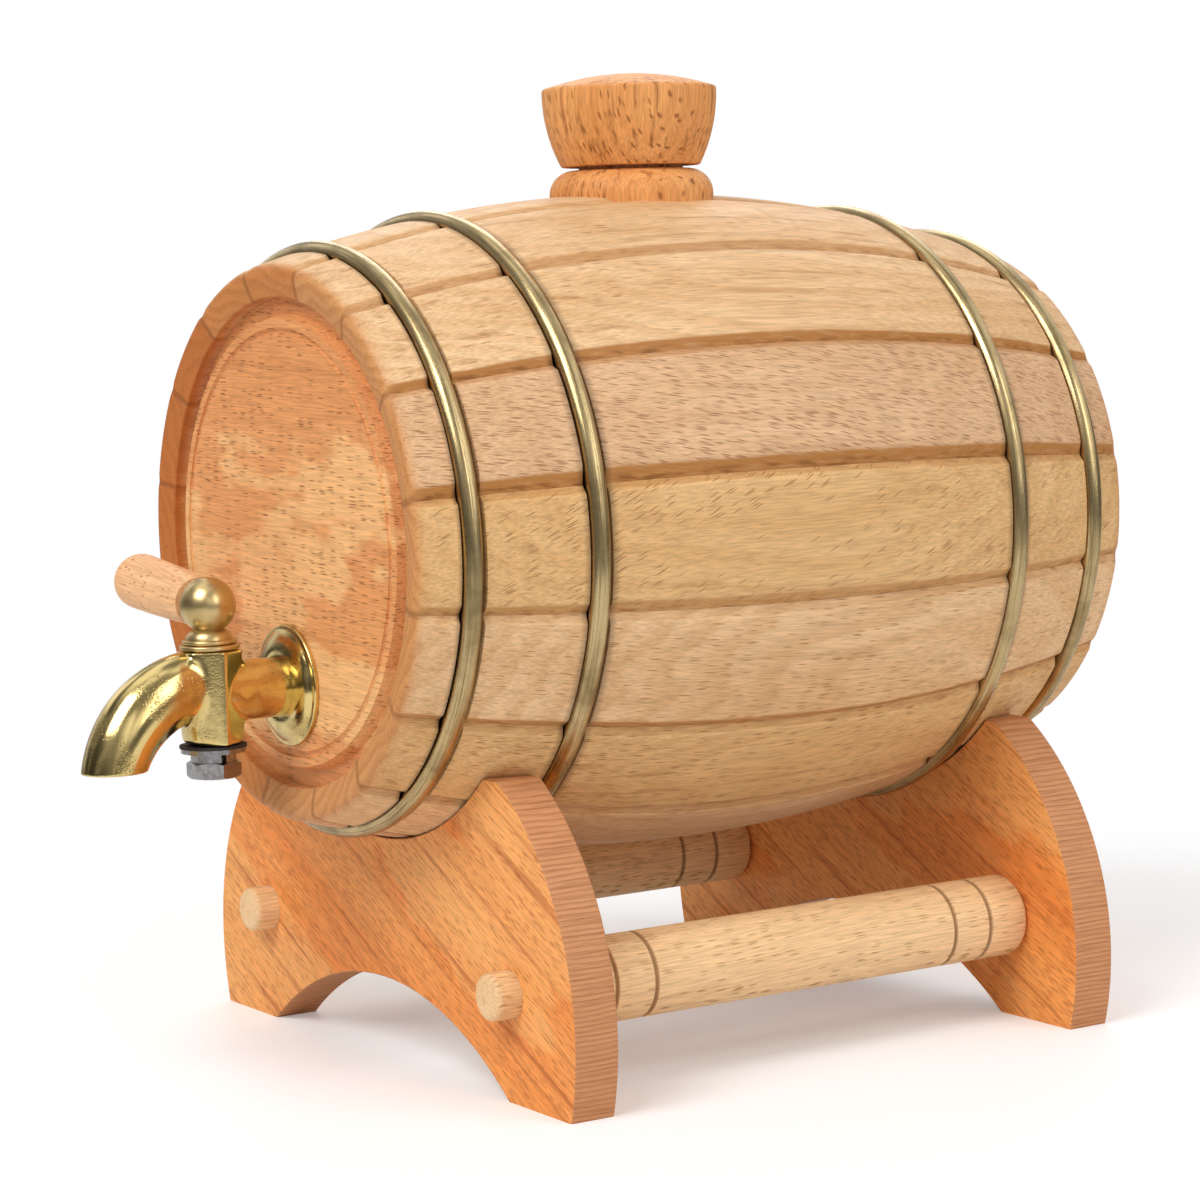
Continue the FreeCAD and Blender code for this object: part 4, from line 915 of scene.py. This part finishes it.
def make_heads():
    """Flat-sawn boards with their grain level and paler clouds."""
    tones = ((232, 162, 101), (214, 138, 80), (152, 86, 42), (244, 190, 128))
    for seed, name in enumerate(("head_front", "head_rear")):
        material = wood("beech_" + name, CASK_CENTRE, (1, 0, -0.03), (0, -1, 0), tones, seed=61 + seed,
                        pith=(0.02, -0.14), flecks=(0.25, 0.62), fleck_size=(210, 2500, 600),
                        fleck_depth=0.85, rings=0.3, broad=0.6, streaks=0.2, clouds=0.8)
        dress_nodes((name,), material)


# Cradle plates.


def plate_outline(along, inset):
    """Loop (x, z) of a plate at a distance along the cask, drawn in by an inset.

    Each half is an arch, a foot, a side arc about a centre off the middle line, a rounded horn and
    the saddle, whose radius is the cask's own at that distance and a little more.
    """
    arch_width, arch_height = 56 * MM, 19.6 * MM
    arch = (arch_width ** 2 + arch_height ** 2) / (2 * arch_height)
    side, side_x, side_z = 66 * MM - inset, 19 * MM, 18 * MM
    horn, ease = 73 * MM - inset, 1.3 * MM
    x = np.linspace(0, 1, 30) ** 0.8 * math.sqrt((arch + inset) ** 2 - (arch - arch_height) ** 2)
    under = np.stack([x, arch_height - arch + np.sqrt((arch + inset) ** 2 - x ** 2)], axis=1)
    top = math.asin((horn - side_z) / side)
    turn = np.linspace(math.asin(-side_z / side), top - ease / side, 60)
    flank = np.stack([side_x + side * np.cos(turn), side_z + side * np.sin(turn)], axis=1)
    corner = np.array([side_x + side * math.cos(top), horn])
    share = np.linspace(0, 1, 8)[1:, None]
    after = corner - (ease, 0)
    round_over = (1 - share) ** 2 * flank[-1] + 2 * share * (1 - share) * corner + share ** 2 * after
    seat = float(bilge(along)) + 0.3 * MM + inset
    turn = np.linspace(math.acos((AXIS_Z - horn) / seat), 0, 50)
    saddle = np.stack([seat * np.sin(turn), AXIS_Z - seat * np.cos(turn)], axis=1)
    half = np.concatenate([under, flank, round_over, saddle])
    return np.concatenate([half, (half * (-1, 1))[-2:0:-1]])


def plate_mesh(near, far, rods):
    """A plate: its outline carried from one face to the other, with both edges rounded over."""
    edge, lip = 0.5 * MM, 0.2 * MM
    turn = np.linspace(0, math.pi / 2, 5)
    over = [(0, edge + lip)] + [(edge * (1 - math.sin(t)), edge * (1 - math.cos(t))) for t in turn[::-1]]
    middle = [(share * (far - near), 0) for share in (0.2, 0.4, 0.6, 0.8)]
    back = [(far - near - along, inset) for along, inset in over[::-1]]
    layers = [(near + along, inset) for along, inset in over + middle + back]
    grid = []
    for along, inset in layers:
        loop = plate_outline(along, inset)
        grid.append(np.stack([loop[:, 0], np.full(len(loop), CASK_Y + along), loop[:, 1]], axis=1))
    grid = np.array(grid)
    rows, columns = grid.shape[:2]
    index = numbered(rows, columns)
    faces = grid_faces(rows, columns, ring_columns=True) + [index[0].tolist(), index[-1, ::-1].tolist()]
    rim = np.array([inset < 0.6 * edge for _, inset in layers], float)[:, None] + np.zeros(columns)
    mesh = smooth_mesh(grid, faces, {"rim": rim})
    drill = [(near - MM, 0), (near - MM, 5.6 * MM), (far + MM, 5.6 * MM), (far + MM, 0)]
    drills = [turned_mesh(drill, "Y", Vector((rod.x, CASK_Y, rod.z)), 64) for rod in rods]
    return cut_out(mesh, drills, 35)


def rim_stains(tree, colour, board, ring):
    """Greyer sawn edges with the growth rings running level across them, a millimetre apart."""
    rim = tree.value_of("rim")
    here = tree.position()
    sway = tree.noise(here, (60, 60, 90))
    level = tree.math("ADD", tree.times(tree.part(here, 2), 880.0), tree.times(sway, 1.2))
    year = tree.year(level)
    line = tree.step(tree.math("FRACT", level), 0.35, 1.0)
    line = tree.times(line, tree.step(year, 0.3, 0.6, 0.3, 0.9))
    colour = tree.mix(rim, colour, shade(208, 146, 100))
    colour = tree.mix(tree.times(rim, tree.times(line, 0.8)), colour, shade(164, 104, 62))
    saw = tree.noise(here, (400, 80, 2600))
    cut = tree.times(rim, tree.step(saw, 0.45, 0.7, 0.0, 0.4))
    return tree.mix(cut, colour, shade(146, 88, 50))


def make_plates():
    """Redder boards sawn across the rings, with long streaks that fall towards +X."""
    slope = math.radians(-27)
    grain = (math.cos(slope), 0, math.sin(slope))
    tones = ((253, 174, 96), (236, 138, 64), (176, 84, 30), (254, 196, 122))
    rods = [(low + high) / 2 for low, high in (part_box("spreader_left"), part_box("spreader_right"))]
    faces = {"cradle_plate_front": (-77.2 * MM, -65.8 * MM), "cradle_plate_rear": (66.8 * MM, 78.2 * MM)}
    for seed, (name, (near, far)) in enumerate(faces.items()):
        low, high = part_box(name)
        material = wood("beech_" + name, (low + high) / 2, grain, (0, -1, 0), tones, seed=71 + seed,
                        pith=(-0.3, 0.0), ring_count=620, rings=0.45, broad=0.9, flecks=(0.8, 1.0),
                        fleck_size=(220, 2100, 700), fleck_depth=0.6, streaks=0.6, clouds=0.4,
                        stained=rim_stains)
        add_piece(name + "_board", plate_mesh(near, far, rods), "cradle",
                  material, [name])


# Studio.

CAMERA_AZIMUTH = 57.01
CAMERA_ELEVATION = 5.56
CAMERA_ROLL = -1.55
CAMERA_DISTANCE = 834.94 * MM
CAMERA_TARGET = Vector((-1.26 * MM, CASK_Y - 11.64 * MM, 105.25 * MM))
FOCAL_PIXELS = 3367.21
PICTURE_PIXELS = 1200
SENSOR = 36.0
FILL_LIGHT = 0.42


def direction(azimuth, elevation):
    """Unit vector at an azimuth turned from -Y towards +X and at an elevation, both in degrees."""
    a, e = math.radians(azimuth), math.radians(elevation)
    return Vector((math.sin(a) * math.cos(e), -math.cos(a) * math.cos(e), math.sin(e)))


def make_camera():
    """Camera at the photograph's place, found from hoops, rods and plates in it."""
    azimuth, roll = math.radians(CAMERA_AZIMUTH), math.radians(CAMERA_ROLL)
    back = direction(CAMERA_AZIMUTH, CAMERA_ELEVATION)
    level = Vector((math.cos(azimuth), math.sin(azimuth), 0))
    rise = back.cross(level)
    right = level * math.cos(roll) + rise * math.sin(roll)
    up = rise * math.cos(roll) - level * math.sin(roll)
    data = bpy.data.cameras.new("camera")
    data.sensor_width = SENSOR
    data.lens = FOCAL_PIXELS / PICTURE_PIXELS * SENSOR
    data.clip_start = 0.01
    camera = link("camera", data)
    turn = Matrix((right, up, back)).transposed().to_4x4()
    camera.matrix_world = Matrix.Translation(CAMERA_TARGET + back * CAMERA_DISTANCE) @ turn
    bpy.context.scene.camera = camera


def add_lamp(name, azimuth, elevation, distance, size, power):
    """Square soft lamp aimed at the cask."""
    back = direction(azimuth, elevation)
    data = bpy.data.lights.new(name, "AREA")
    data.size = size
    data.energy = power
    lamp = link(name, data)
    lamp.location = CASK_CENTRE + back * distance
    lamp.rotation_mode = "QUATERNION"
    lamp.rotation_quaternion = back.to_track_quat("Z", "Y")


def make_surround():
    """White to the camera. To the metal, a pale room with soft grey patches and one dark wall."""
    world = bpy.data.worlds.new("surround")
    bpy.context.scene.world = world
    world.use_nodes = True
    tree = Surround(world)
    towards = tree.add("TexCoord").outputs["Generated"]
    patches = tree.step(tree.noise(towards, (2.1, 2.1, 2.1), 1), 0.42, 0.58, 0.25, 1.2)
    room = tree.times(patches, tree.step(tree.part(towards, 2), -0.05, 0.4, 0.45, 1.0))
    wall = tree.pair("VectorMath", "DOT_PRODUCT", towards, (0.0, -1.0, 0.0))
    room = tree.times(room, tree.step(wall.outputs["Value"], 0.25, 0.6, 1.0, 0.25))
    path = tree.add("LightPath")
    clear = tree.math("MAXIMUM", path.outputs["Is Camera Ray"], path.outputs["Is Transmission Ray"])
    mirrored = tree.times(path.outputs["Is Glossy Ray"], tree.math("SUBTRACT", room, FILL_LIGHT))
    level = tree.math("ADD", tree.times(clear, 1 - FILL_LIGHT), mirrored)
    tree.dress(Strength=tree.math("ADD", level, FILL_LIGHT), Color=(1, 1, 1, 1))


def make_floor():
    """White floor with the object's shadow, plain white to the camera further away."""
    corners = np.array([(-1, -1, 0), (1, -1, 0), (1, 1, 0), (-1, 1, 0)]) * FLOOR_HALF
    floor = link("floor", smooth_mesh(corners, [(0, 1, 2, 3)]))
    tree = Tree("white_sweep")
    seen = tree.add("LightPath").outputs["Is Camera Ray"]
    tree.dress(Base_Color=(0.86, 0.86, 0.86, 1), Roughness=0.6, Specular_IOR_Level=0.2,
               Emission_Strength=tree.times(seen, 0.2), Emission_Color=(1, 1, 1, 1))
    away = tree.add("VectorMath", {"operation": "LENGTH"}, Vector=tree.position()).outputs["Value"]
    far = tree.times(seen, tree.step(away, 0.17, 0.42))
    white = tree.add("Emission", Strength=1.0)
    blend = tree.add("MixShader", None, {0: far, 1: tree.shader.outputs[0], 2: white.outputs[0]})
    tree.set(tree.tree.nodes["Material Output"].inputs["Surface"], blend.outputs[0])
    floor.data.materials.append(tree.material)


def make_studio():
    """White sweep, three soft lamps and a pale surround."""
    add_lamp("key", 18, 44, 1.5, 0.8, 14)
    add_lamp("side", 110, 28, 1.6, 1.0, 8.5)
    add_lamp("back", 235, 40, 1.6, 1.0, 6)
    make_surround()
    make_floor()
    bpy.context.scene.view_settings.view_transform = "Standard"


make_camera()
make_staves()
make_hoops()
make_bung()
make_spreaders()
make_tap()
make_heads()
make_plates()
make_studio()
